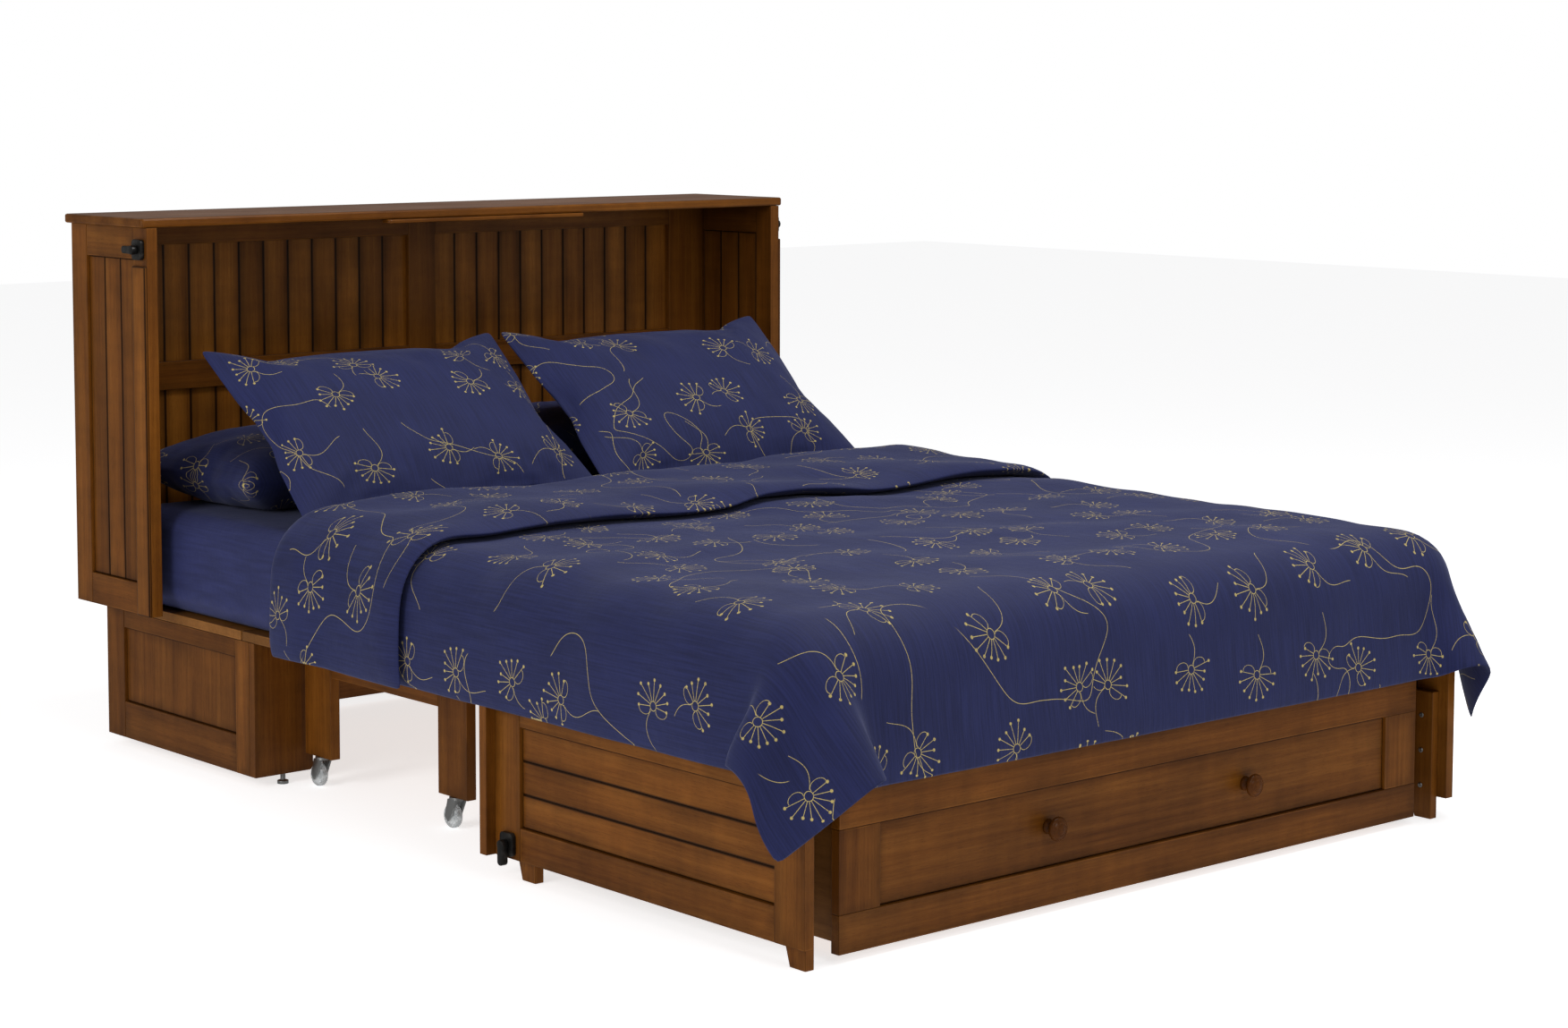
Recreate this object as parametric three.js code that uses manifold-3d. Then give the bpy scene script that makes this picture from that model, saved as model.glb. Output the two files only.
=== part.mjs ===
// A cabinet bed, standing open and made up: a shallow headboard cabinet on a rear base,
// a rolling middle frame, and a front base with a drawer. A deck of three panels joins
// them and carries the mattress, the duvet and four pillows.
// Millimetres. Seen from the foot of the bed, +X is to the right, +Y runs from the foot
// to the head, and +Z is up. Left and right in the names are as seen from the foot.
import * as THREE from 'three';
import { mergeVertices } from 'three/addons/utils/BufferGeometryUtils.js';
import Module from 'manifold-3d';

const wasm = await Module();
wasm.setup();

// ---- Driving dimensions ----
const GAP = 0.3;                  // clearance between two pieces that touch

// A queen mattress sets the width and length of the whole bed.
const MATTRESS = { width: 1524, length: 2030, height: 205, front: 45, corner: 45 };
const HEAD_ROOM = 53;             // mattress to headboard
const CABINET_SIDE_ROOM = 27;     // mattress edge to the inside of a cabinet side
const FRONT_BASE_OVERHANG = 33;   // mattress edge to the outside of a front base side

const HEIGHT = 1078;              // floor to the top of the cabinet
const DECK_HEIGHT = 299;          // floor to the top of the deck panels
const DECK_THICKNESS = 19;
const DECK_JOINT_GAP = 4;
const DECK_REAR_LAP = 45;         // how far the middle deck panel lies over the rear base

const TOP_THICKNESS = 18;
const TOP_SIDE_OVERHANG = 11;
const TOP_BACK_OVERHANG = 11;
const TOP_EDGE_ROUND = 4;
const CABINET_DEPTH = 295;
const CABINET_SIDE_THICKNESS = 24;
const CABINET_STILE = 50;
const CABINET_BACK_STILE = 60;
const CABINET_RAIL = 62;
const CABINET_PLANKS = 3;
const BATTEN_WIDTH = 48;
const BATTEN_PROUD = 6;
const BATTEN_TOP_DROP = 75;       // from the underside of the top to the batten's round end
const LIFT_STRIP = { length: 506, depth: 30, thickness: 8 };

const HEADBOARD_INSET = 31;       // cabinet back edge to the back of the headboard frame
const HEADBOARD_THICKNESS = 24;
const HEADBOARD_STILE = 100;
const HEADBOARD_CENTRE_STILE = 70;
const HEADBOARD_TOP_RAIL = 48;
const HEADBOARD_MIDDLE_RAIL = { aboveDeck: 417, height: 57 };
const HEADBOARD_BOTTOM_RAIL = 60;
const HEADBOARD_PLANKS = 11;
const HEADBOARD_PANEL_THICKNESS = 12;
const PANEL_LAP = 20;             // how far a loose panel reaches behind its frame

const BOARD = 20;                 // thickness of base sides, posts and legs
const RECESS = 6;                 // depth of a framed panel below its frame
const GROOVE = { width: 4, depth: 3 };

const REAR_BASE = { length: 560, clearance: 20, stile: 68, rail: 74, topRail: 34 };
const NEST_ROOM = 2;              // front base legs to the sides of the rear base
const REAR_FRONT_BOARD_WIDTH = 130;
const REAR_BASE_SETBACK = 24;     // back of the rear base to the back edge of the top
const FOOT = { radius: 11, stemRadius: 5, padHeight: 6, fromSide: 67 };

const MID_FRAME = { inset: 99, length: 530, toRearBase: 21, legWidth: 90, apron: 62 };
const CASTER = {
  height: 59, wheelRadius: 22, wheelWidth: 15, bore: 3.4, axle: 3,
  trail: 13, cheek: 4, plate: 5, cheekRadius: 9, sideClearance: 1.2,
};

const FRONT_BASE = { length: 784, clearance: 39, stile: 69, rail: 57, topRail: 31 };
const FRONT_PLANKS = 3;
const POST_PROUD = 19;
const FRONT_LEG = {
  topDrop: 45, width: 48, footWidth: 36, taperTop: 39, thickness: 18, fromFront: 20, fromBack: 36,
};
const FRONT_RAIL = { height: 25, setback: 19, thickness: 22 };

const DRAWER = {
  sideGap: 50, topGap: 4, clearance: 13, setback: 19, frontThickness: 18,
  stile: 87, rail: 62, boxInset: 17, boxDepth: 560, boxTopDrop: 55, boxLift: 12, wall: 12,
};
const KNOB = { radius: 20, length: 32, spacing: 486 };

const LATCH = {
  width: 36, height: 40, thickness: 8, boss: 9, leverLength: 44, leverWidth: 15, leverThickness: 12,
};
const CABINET_LATCH = { fromFront: 26, fromTop: 43 };
const FRONT_LATCH = { fromBack: 40, fromBottom: 26 };

const DUVET = { overhang: 88, thickness: 52, front: 45, fromHeadboard: 728, hemLift: 3, clearance: 4 };
const PILLOW_PAIR = { fromEdge: 45, between: 10 };
const FRONT_PILLOW = { depth: 486, thickness: 116, tilt: 38, fromHeadboard: 453, lift: 164 };
const REAR_PILLOW = { depth: 440, thickness: 118, wallGap: 3 };

// ---- Finishes ----
const wood = (shade) => new THREE.MeshStandardMaterial({ color: shade, roughness: 0.42, metalness: 0 });
const finish = {
  frame: () => wood(0x6b3512),
  panel: () => wood(0x7a3f14),
  deck: () => wood(0x9a6228),
  latch: () => new THREE.MeshStandardMaterial({ color: 0x15130f, roughness: 0.35, metalness: 0.6 }),
  steel: () => new THREE.MeshStandardMaterial({ color: 0x7d7d7a, roughness: 0.4, metalness: 0.9 }),
  clear: () => new THREE.MeshStandardMaterial({ color: 0xd9dcda, roughness: 0.2, metalness: 0 }),
  sheet: () => new THREE.MeshStandardMaterial({ color: 0x2b3560, roughness: 0.9, metalness: 0 }),
  cover: () => new THREE.MeshStandardMaterial({ color: 0x1b2556, roughness: 0.9, metalness: 0 }),
};

// ---- Derived levels and lines ----
const SIDES = [['left', -1], ['right', 1]];
const topUnderside = HEIGHT - TOP_THICKNESS;
const deckUnderside = DECK_HEIGHT - DECK_THICKNESS;
const baseTop = deckUnderside - GAP;
const mattressTop = DECK_HEIGHT + GAP + MATTRESS.height;

const headboardFront = MATTRESS.front + MATTRESS.length + HEAD_ROOM;
const headboardBack = headboardFront + HEADBOARD_THICKNESS;
const cabinetBack = headboardBack + HEADBOARD_INSET;
const cabinetFront = cabinetBack - CABINET_DEPTH;
const topBack = cabinetBack + TOP_BACK_OVERHANG;
const rearBaseBack = topBack - REAR_BASE_SETBACK;
const rearBaseFront = rearBaseBack - REAR_BASE.length;

const cabinetInside = MATTRESS.width / 2 + CABINET_SIDE_ROOM;
const cabinetOutside = cabinetInside + CABINET_SIDE_THICKNESS;
const frontOutside = MATTRESS.width / 2 + FRONT_BASE_OVERHANG;
const frontInside = frontOutside - BOARD;
const rearOutside = frontInside - FRONT_LEG.thickness - NEST_ROOM;

// ---- Shape helpers ----
function block(x0, x1, y0, y1, z0, z1) {
  const box = new THREE.BoxGeometry(Math.abs(x1 - x0), Math.abs(y1 - y0), Math.abs(z1 - z0));
  return box.translate((x0 + x1) / 2, (y0 + y1) / 2, (z0 + z1) / 2);
}

function toSolid(geometry) {
  const bare = geometry.clone();
  bare.deleteAttribute('normal');
  bare.deleteAttribute('uv');
  const merged = mergeVertices(bare);
  return new wasm.Manifold(new wasm.Mesh({
    numProp: 3,
    vertProperties: merged.attributes.position.array,
    triVerts: new Uint32Array(merged.index.array),
  }));
}

function toGeometry(solid) {
  const mesh = solid.getMesh();
  const geometry = new THREE.BufferGeometry();
  geometry.setAttribute('position', new THREE.BufferAttribute(mesh.vertProperties, mesh.numProp));
  geometry.setIndex(new THREE.BufferAttribute(mesh.triVerts, 1));
  geometry.computeVertexNormals();
  return geometry;
}

const cut = (geometry, ...tools) =>
  toGeometry(tools.reduce((body, tool) => body.subtract(toSolid(tool)), toSolid(geometry)));
const join = (...pieces) => toGeometry(pieces.map(toSolid).reduce((body, piece) => body.add(piece)));

function roundedRectangle(width, depth, radius) {
  const [x, y] = [width / 2, depth / 2];
  const outline = new THREE.Shape();
  outline.moveTo(x - radius, -y);
  outline.absarc(x - radius, -y + radius, radius, -Math.PI / 2, 0);
  outline.absarc(x - radius, y - radius, radius, 0, Math.PI / 2);
  outline.absarc(-x + radius, y - radius, radius, Math.PI / 2, Math.PI);
  outline.absarc(-x + radius, -y + radius, radius, Math.PI, 1.5 * Math.PI);
  return outline;
}

function extrude(outline, depth, bevel = 0, curveSegments = 4) {
  const solid = new THREE.ExtrudeGeometry(outline, {
    depth: depth - 2 * bevel, curveSegments, bevelEnabled: bevel > 0,
    bevelThickness: bevel, bevelSize: bevel, bevelOffset: -bevel, bevelSegments: 2,
  });
  return solid.translate(0, 0, bevel);
}

// Grooves that divide a span into equal planks, as the places of the lines between them.
const plankLines = (from, to, planks) =>
  Array.from({ length: planks - 1 }, (_, i) => from + ((i + 1) * (to - from)) / planks);

// A framed side: a board standing in the YZ plane whose outer face is sunk inside its
// stiles and rails, with plank grooves along Z or along Y.
function framedSide(side, outer, thickness, y, z, inner, planks, upright) {
  const face = side * outer;
  const sunk = side * (outer - RECESS);
  const deep = side * (outer - RECESS - GROOVE.depth);
  const past = side * (outer + 1);
  const tools = [block(past, sunk, inner.y0, inner.y1, inner.z0, inner.z1)];
  const [from, to] = upright ? [inner.y0, inner.y1] : [inner.z0, inner.z1];
  for (const line of plankLines(from, to, planks)) {
    const [a, b] = [line - GROOVE.width / 2, line + GROOVE.width / 2];
    tools.push(upright
      ? block(past, deep, a, b, inner.z0, inner.z1)
      : block(past, deep, inner.y0, inner.y1, a, b));
  }
  return cut(block(face, side * (outer - thickness), y[0], y[1], z[0], z[1]), ...tools);
}

// A pillow: a flat rounded bag, thick in the middle and thin along its edges.
function pillowShape(width, depth, thickness) {
  const edgeShare = 0.22;
  const bag = new THREE.BoxGeometry(width, depth, thickness, 8, 6, 2);
  const place = bag.attributes.position;
  for (let i = 0; i < place.count; i += 1) {
    const u = (2 * place.getX(i)) / width;
    const v = (2 * place.getY(i)) / depth;
    const crown = Math.sqrt(Math.max(0, (1 - u ** 4) * (1 - v ** 4)));
    place.setZ(i, place.getZ(i) * (edgeShare + (1 - edgeShare) * crown));
  }
  return bag;
}

// ---- The model ----
const bed = new THREE.Group();

function add(name, geometry, material, parent = bed) {
  const mesh = new THREE.Mesh(geometry, material);
  mesh.name = name;
  parent.add(mesh);
  return mesh;
}

function cabinetSides() {
  const outer = cabinetOutside;
  const inner = {
    y0: cabinetFront + CABINET_STILE, y1: cabinetBack - CABINET_BACK_STILE,
    z0: DECK_HEIGHT + CABINET_RAIL, z1: topUnderside - CABINET_RAIL,
  };
  for (const [label, side] of SIDES) {
    const board = framedSide(side, outer, CABINET_SIDE_THICKNESS, [cabinetFront, cabinetBack],
      [DECK_HEIGHT, topUnderside - GAP], inner, CABINET_PLANKS, true);
    const battenTop = topUnderside - BATTEN_TOP_DROP;
    const batten = block(side * (outer - 1), side * (outer + BATTEN_PROUD),
      cabinetFront, cabinetFront + BATTEN_WIDTH, DECK_HEIGHT, battenTop);
    add(`cabinet_side_${label}`, join(board, batten), finish.frame());
  }
}

function cabinetTop() {
  const depth = CABINET_DEPTH + TOP_BACK_OVERHANG;
  const outline = roundedRectangle(2 * (cabinetOutside + TOP_SIDE_OVERHANG), depth, 2 * TOP_EDGE_ROUND);
  const board = extrude(outline, TOP_THICKNESS, TOP_EDGE_ROUND);
  add('cabinet_top', board, finish.frame()).position.set(0, topBack - depth / 2, topUnderside);

  const { length, depth: stripDepth, thickness } = LIFT_STRIP;
  const strip = extrude(roundedRectangle(length, stripDepth, thickness), thickness, thickness / 4);
  add('lift_strip', strip, finish.frame())
    .position.set(0, cabinetFront + stripDepth / 4, topUnderside - GAP - thickness);
}

function headboard() {
  const bottom = DECK_HEIGHT + GAP;
  const top = topUnderside - GAP;
  const edge = cabinetInside - GAP;
  const frameBack = headboardBack - HEADBOARD_PANEL_THICKNESS;
  const panelInside = HEADBOARD_CENTRE_STILE / 2;
  const panelOutside = edge - HEADBOARD_STILE;
  const middleRail = DECK_HEIGHT + HEADBOARD_MIDDLE_RAIL.aboveDeck;
  const rows = [
    [bottom + HEADBOARD_BOTTOM_RAIL, middleRail],
    [middleRail + HEADBOARD_MIDDLE_RAIL.height, top - HEADBOARD_TOP_RAIL],
  ];
  const windows = [];
  for (const [, side] of SIDES) {
    for (const [z0, z1] of rows) {
      windows.push(block(side * panelInside, side * panelOutside,
        headboardFront - 1, frameBack + 1, z0, z1));
    }
  }
  const frame = block(-edge, edge, headboardFront, frameBack, bottom, top);
  add('headboard_frame', cut(frame, ...windows), finish.frame());

  for (const [label, side] of SIDES) {
    const [y0, y1] = [frameBack + GAP, headboardBack];
    const [z0, z1] = [rows[0][0] - PANEL_LAP, rows[1][1] + PANEL_LAP];
    const panel = block(side * GAP, side * (panelOutside + PANEL_LAP), y0, y1, z0, z1);
    const grooves = plankLines(side * panelInside, side * panelOutside, HEADBOARD_PLANKS)
      .map((x) => block(x - GROOVE.width / 2, x + GROOVE.width / 2,
        y0 - 1, y0 + GROOVE.depth, rows[0][0], rows[1][1]));
    add(`headboard_panel_${label}`, cut(panel, ...grooves), finish.panel());
  }
}

function rearBase() {
  const outer = rearOutside;
  const boardBack = rearBaseFront + BOARD;
  const inner = {
    y0: boardBack + REAR_BASE.stile - BOARD, y1: rearBaseBack - REAR_BASE.stile,
    z0: REAR_BASE.clearance + REAR_BASE.rail, z1: baseTop - REAR_BASE.topRail,
  };
  for (const [label, side] of SIDES) {
    const board = framedSide(side, outer, BOARD, [boardBack + GAP, rearBaseBack],
      [REAR_BASE.clearance, baseTop], inner, 1, true);
    add(`rear_base_side_${label}`, board, finish.frame());
    add(`rear_base_front_${label}`, block(side * outer, side * (outer - REAR_FRONT_BOARD_WIDTH),
      rearBaseFront, boardBack, REAR_BASE.clearance, baseTop), finish.frame());
  }
  const inside = outer - BOARD - GAP;
  add('rear_base_back', block(-inside, inside, rearBaseBack - BOARD, rearBaseBack,
    REAR_BASE.clearance, baseTop), finish.frame());
}

function levellingFeet() {
  const { radius, stemRadius, padHeight, fromSide } = FOOT;
  const stemTop = REAR_BASE.clearance - GAP;
  const profile = [[0, 0], [radius, 0], [radius, padHeight], [stemRadius, padHeight + 2],
    [stemRadius, stemTop], [0, stemTop]].map(([r, z]) => new THREE.Vector2(r, z));
  const x = rearOutside - fromSide;
  for (const [end, y] of [['front', rearBaseFront + BOARD / 2], ['back', rearBaseBack - BOARD / 2]]) {
    for (const [label, side] of SIDES) {
      const foot = new THREE.LatheGeometry(profile, 16).rotateX(Math.PI / 2);
      add(`levelling_foot_${end}_${label}`, foot, finish.steel()).position.set(side * x, y, 0);
    }
  }
}

function middleFrame() {
  const outer = rearOutside - MID_FRAME.inset;
  const back = rearBaseFront - MID_FRAME.toRearBase;
  const front = back - MID_FRAME.length;
  const legBottom = CASTER.height + GAP;
  const legs = [['front', front], ['back', back - MID_FRAME.legWidth]];
  for (const [label, side] of SIDES) {
    const [x0, x1] = [side * outer, side * (outer - BOARD)];
    for (const [end, y] of legs) {
      add(`middle_leg_${end}_${label}`,
        block(x0, x1, y, y + MID_FRAME.legWidth, legBottom, baseTop), finish.frame());
      caster(`${end}_${label}`, side * (outer - BOARD / 2), y + MID_FRAME.legWidth / 2);
    }
    add(`middle_apron_${label}`, block(x0, x1, front + MID_FRAME.legWidth + GAP,
      back - MID_FRAME.legWidth - GAP, baseTop - MID_FRAME.apron, baseTop), finish.frame());
  }
}

// A plate caster: a fork whose two cheeks hold an axle behind the swivel line, and a wheel.
function caster(label, x, y) {
  const c = CASTER;
  const outside = c.wheelWidth / 2 + c.sideClearance + c.cheek;
  const inside = c.wheelWidth / 2 + c.sideClearance;
  const plateBottom = c.height - c.plate;
  const disc = (radius, length, sides) =>
    new THREE.CylinderGeometry(radius, radius, length, sides).rotateZ(Math.PI / 2);
  const parts = [
    new THREE.CylinderGeometry(outside + 2, outside + 2, c.plate, 20).rotateX(Math.PI / 2)
      .translate(0, 0, plateBottom + c.plate / 2),
    disc(c.axle, 2 * outside - 1, 10).translate(0, c.trail, c.wheelRadius),
  ];
  for (const [, side] of SIDES) {
    const cheek = new THREE.Shape([
      new THREE.Vector2(-outside, plateBottom + 1), new THREE.Vector2(c.trail - c.cheekRadius, c.wheelRadius),
      new THREE.Vector2(c.trail, c.wheelRadius - c.cheekRadius),
      new THREE.Vector2(c.trail + c.cheekRadius, c.wheelRadius),
      new THREE.Vector2(outside, plateBottom + 1),
    ]);
    const plate = extrude(cheek, c.cheek).rotateX(Math.PI / 2).rotateZ(Math.PI / 2);
    const low = side > 0 ? inside : -outside;
    parts.push(plate.translate(low, 0, 0));
  }
  add(`caster_fork_${label}`, join(...parts), finish.steel()).position.set(x, y, 0);

  const half = c.wheelWidth / 2;
  const round = 3;
  const tread = [[c.bore, -half], [c.wheelRadius - round, -half], [c.wheelRadius, -half + round],
    [c.wheelRadius, half - round], [c.wheelRadius - round, half], [c.bore, half], [c.bore, -half]]
    .map(([r, z]) => new THREE.Vector2(r, z));
  const wheel = new THREE.LatheGeometry(tread, 24).rotateZ(Math.PI / 2);
  add(`caster_wheel_${label}`, wheel, finish.clear()).position.set(x, y + c.trail, c.wheelRadius);
}

function frontBase() {
  const outer = frontOutside;
  const { length, clearance, stile, rail, topRail } = FRONT_BASE;
  const inner = { y0: stile, y1: length - stile, z0: clearance + rail, z1: DECK_HEIGHT - topRail };
  for (const [label, side] of SIDES) {
    add(`front_base_side_${label}`, framedSide(side, outer, BOARD, [0, length],
      [clearance, DECK_HEIGHT], inner, FRONT_PLANKS, false), finish.frame());
    add(`front_base_post_${label}`, block(side * (outer + POST_PROUD), side * (outer - BOARD),
      length + GAP, length + BOARD, clearance, DECK_HEIGHT), finish.frame());
    frontLegs(label, side);
  }
  const { height, setback, thickness } = FRONT_RAIL;
  const reach = frontInside - GAP;
  add('front_base_rail', block(-reach, reach, setback, setback + thickness,
    DECK_HEIGHT - height, DECK_HEIGHT), finish.frame());
}

// The legs stand inside the side boards, and their feet taper on the side towards the head.
function frontLegs(label, side) {
  const { topDrop, width, footWidth, taperTop, thickness, fromFront, fromBack } = FRONT_LEG;
  const height = deckUnderside - topDrop;
  const outline = new THREE.Shape([[0, 0], [footWidth, 0], [width, taperTop], [width, height], [0, height]]
    .map(([y, z]) => new THREE.Vector2(y, z)));
  const places = [['front', fromFront], ['back', FRONT_BASE.length - fromBack - width]];
  for (const [end, start] of places) {
    const leg = extrude(outline, thickness).rotateX(Math.PI / 2).rotateZ(Math.PI / 2);
    const x = side > 0 ? frontInside - GAP - thickness : -frontInside + GAP;
    add(`front_base_leg_${end}_${label}`, leg, finish.frame()).position.set(x, start, 0);
  }
}

function drawer() {
  const d = DRAWER;
  const half = frontInside - FRONT_LEG.thickness - d.sideGap;
  const [z0, z1] = [d.clearance, DECK_HEIGHT - FRONT_RAIL.height - d.topGap];
  const board = block(-half, half, d.setback, d.setback + d.frontThickness, z0, z1);
  const panel = block(-half + d.stile, half - d.stile, d.setback - 1, d.setback + RECESS,
    z0 + d.rail, z1 - d.rail);
  add('drawer_front', cut(board, panel), finish.frame());

  const boxFront = d.setback + d.frontThickness + GAP;
  const boxBack = boxFront + d.boxDepth;
  const boxHalf = half - d.boxInset;
  const boxBottom = z0 + d.boxLift;
  const boxTop = z1 - d.boxTopDrop;
  add('drawer_box', cut(
    block(-boxHalf, boxHalf, boxFront, boxBack, boxBottom, boxTop),
    block(-boxHalf + d.wall, boxHalf - d.wall, boxFront + d.wall, boxBack - d.wall,
      boxBottom + d.wall, boxTop + 1)), finish.deck());

  const { radius, length, spacing } = KNOB;
  const profile = [[0, 0], [0.62 * radius, 0], [0.66 * radius, 0.12 * length], [0.42 * radius, 0.3 * length],
    [0.45 * radius, 0.45 * length], [radius, 0.62 * length], [radius, 0.78 * length],
    [0.78 * radius, 0.92 * length], [0.4 * radius, length], [0, length]]
    .map(([r, z]) => new THREE.Vector2(r, z));
  for (const [label, side] of SIDES) {
    const knob = new THREE.LatheGeometry(profile, 24).rotateX(Math.PI);
    add(`drawer_knob_${label}`, knob, finish.frame())
      .position.set((side * spacing) / 2, d.setback + RECESS - GAP, (z0 + z1) / 2);
  }
}

// A turn latch: a plate with a round boss under a lever that turns about X.
function latch(name, label, side, face, y, z, hangs) {
  const l = LATCH;
  const bossLength = 1;
  const lay = (shape) => shape.rotateY(Math.PI / 2).translate(side > 0 ? 0 : -l.thickness, 0, 0);
  const plate = lay(extrude(roundedRectangle(l.height, l.width, 8), l.thickness));
  const x = side * (face + GAP);
  add(`${name}_plate_${label}`, plate, finish.latch()).position.set(x, y, z);

  const bar = extrude(roundedRectangle(l.leverLength, l.leverWidth, l.leverWidth / 2 - 0.5), l.leverThickness)
    .translate(l.leverLength / 2 - l.boss, 0, bossLength);
  const boss = new THREE.CylinderGeometry(l.boss, l.boss, l.leverThickness, 20)
    .rotateX(Math.PI / 2).translate(0, 0, l.leverThickness / 2 + bossLength);
  const lever = join(bar, boss).rotateY(-Math.PI / 2);
  if (side > 0) lever.rotateZ(Math.PI);
  if (hangs) lever.rotateX(Math.PI);
  else lever.rotateX(-Math.PI / 2);
  add(`${name}_lever_${label}`, lever, finish.latch())
    .position.set(side * (face + GAP + l.thickness), y, z);
}

function latches() {
  for (const [label, side] of SIDES) {
    latch('cabinet_latch', label, side, cabinetOutside, cabinetFront + CABINET_LATCH.fromFront,
      topUnderside - CABINET_LATCH.fromTop, false);
    latch('front_latch', label, side, frontOutside, FRONT_BASE.length - FRONT_LATCH.fromBack,
      FRONT_BASE.clearance + FRONT_LATCH.fromBottom, true);
  }
}

function deck() {
  const lines = [FRONT_RAIL.setback + FRONT_RAIL.thickness + GAP, FRONT_BASE.length + BOARD,
    rearBaseFront + DECK_REAR_LAP, rearBaseBack];
  const halves = [frontInside - GAP, rearOutside, rearOutside];
  ['front', 'middle', 'rear'].forEach((label, i) => {
    const y0 = lines[i] + (i ? DECK_JOINT_GAP / 2 : 0);
    const y1 = lines[i + 1] - (i < 2 ? DECK_JOINT_GAP / 2 : 0);
    add(`deck_${label}`, block(-halves[i], halves[i], y0, y1, deckUnderside, DECK_HEIGHT), finish.deck());
  });
}

function bedding() {
  const m = MATTRESS;
  const mattress = extrude(roundedRectangle(m.width, m.length, m.corner), m.height);
  add('mattress', mattress, finish.sheet()).position.set(0, m.front + m.length / 2, DECK_HEIGHT + GAP);

  const d = DUVET;
  const underside = mattressTop + GAP;
  const hollowHalf = m.width / 2 + d.clearance;
  const half = m.width / 2 + d.overhang;
  const head = headboardFront - d.fromHeadboard;
  const hem = DECK_HEIGHT + d.hemLift;
  const duvet = cut(
    block(-half, half, -d.front, head, hem, underside + d.thickness),
    block(-hollowHalf, hollowHalf, m.front - d.clearance, head + 1, hem - 1, underside));
  add('duvet', duvet, finish.cover());

  const { fromEdge, between } = PILLOW_PAIR;
  const pillowWidth = m.width / 2 - fromEdge - between / 2;
  for (const [label, side] of SIDES) {
    const x = (side * (pillowWidth + between)) / 2;
    const rear = add(`pillow_rear_${label}`,
      pillowShape(pillowWidth, REAR_PILLOW.depth, REAR_PILLOW.thickness), finish.cover());
    rear.position.set(x, headboardFront - REAR_PILLOW.wallGap - REAR_PILLOW.depth / 2,
      mattressTop + GAP + REAR_PILLOW.thickness / 2);
    const front = add(`pillow_front_${label}`,
      pillowShape(pillowWidth, FRONT_PILLOW.depth, FRONT_PILLOW.thickness), finish.cover());
    front.position.set(x, headboardFront - FRONT_PILLOW.fromHeadboard,
      mattressTop + FRONT_PILLOW.lift);
    front.rotation.x = THREE.MathUtils.degToRad(FRONT_PILLOW.tilt);
  }
}

cabinetSides();
cabinetTop();
headboard();
rearBase();
levellingFeet();
middleFrame();
frontBase();
drawer();
latches();
deck();
bedding();

// The origin is on the floor at the middle of the whole object.
bed.position.y = -(topBack - DUVET.front) / 2;

export default bed;
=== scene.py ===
# %% [markdown]
# # A cabinet bed, standing open and made up
# The CAD model fixes every size and place. This file gives each piece its finish, and
# builds the bedding again as cloth. It is written in short cells, one step at a time.

# %% Load the frame
import math

import bmesh
import bpy
import numpy as np
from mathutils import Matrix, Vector


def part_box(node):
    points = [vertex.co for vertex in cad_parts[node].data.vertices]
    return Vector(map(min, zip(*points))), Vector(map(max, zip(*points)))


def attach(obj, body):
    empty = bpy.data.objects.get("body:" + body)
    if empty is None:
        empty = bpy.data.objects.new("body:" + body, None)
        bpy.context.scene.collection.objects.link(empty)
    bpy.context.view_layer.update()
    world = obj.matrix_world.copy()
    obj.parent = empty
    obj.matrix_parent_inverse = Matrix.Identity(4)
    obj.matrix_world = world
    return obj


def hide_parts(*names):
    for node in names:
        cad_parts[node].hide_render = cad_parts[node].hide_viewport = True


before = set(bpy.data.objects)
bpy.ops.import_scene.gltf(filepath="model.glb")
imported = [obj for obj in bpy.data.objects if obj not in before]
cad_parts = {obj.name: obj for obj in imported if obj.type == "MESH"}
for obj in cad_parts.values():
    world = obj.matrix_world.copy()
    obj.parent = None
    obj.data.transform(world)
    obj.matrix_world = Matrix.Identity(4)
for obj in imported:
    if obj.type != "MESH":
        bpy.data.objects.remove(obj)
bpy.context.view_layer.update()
SIDES = (("left", -1), ("right", 1))

# %% [markdown]
# ## Camera
# The bed is seen from the foot, well to the left and a little above the cabinet. A long
# lens from far away keeps the boards nearly parallel. A small shift of the film holds
# the uprights upright, which is what a furniture catalogue does.

# %% Camera
EYE = Vector((-3.899, -4.539, 1.356))
TURN, DIP = math.radians(40.03), math.radians(5.13)
LENS_MM, FILM_MM = 72.4, 36.0

camera = bpy.data.objects.new("camera", bpy.data.cameras.new("camera"))
bpy.context.scene.collection.objects.link(camera)
camera.location = EYE
camera.rotation_euler = (math.pi / 2 - DIP, 0, -TURN)
camera.data.lens, camera.data.sensor_width = LENS_MM, FILM_MM
camera.data.shift_x, camera.data.shift_y = 0.05, -0.10
bpy.context.scene.camera = camera
print("camera at", EYE[:], "lens", LENS_MM)

# %% [markdown]
# ## Floor
# Catalogue pictures are taken on a pale sheet with no join to the wall. Here it is one
# large square that glows a little, so it stays white where the lights don't reach.

# %% Floor
FLOOR_HALF = 14.0
FLOOR_DROP = 0.0005                   # the floor lies this far under the feet
floor_corners = [(x * FLOOR_HALF, y * FLOOR_HALF, 0) for x, y in ((-1, -1), (1, -1), (1, 1), (-1, 1))]
floor_mesh = bpy.data.meshes.new("floor")
floor_mesh.from_pydata(floor_corners, [], [(0, 1, 2, 3)])
floor = bpy.data.objects.new("floor", floor_mesh)
floor.location.z = -FLOOR_DROP
bpy.context.scene.collection.objects.link(floor)
floor.visible_glossy = False          # a mirror of the white floor would grey every colour
floor_paint = bpy.data.materials.new("floor_paint")
floor_paint.use_nodes = True
paint = floor_paint.node_tree.nodes["Principled BSDF"]
paint.inputs["Base Color"].default_value = (0.90, 0.90, 0.91, 1)
paint.inputs["Roughness"].default_value = 0.7
paint.inputs["Specular IOR Level"].default_value = 0.1
paint.inputs["Emission Color"].default_value = (1, 1, 1, 1)
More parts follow.
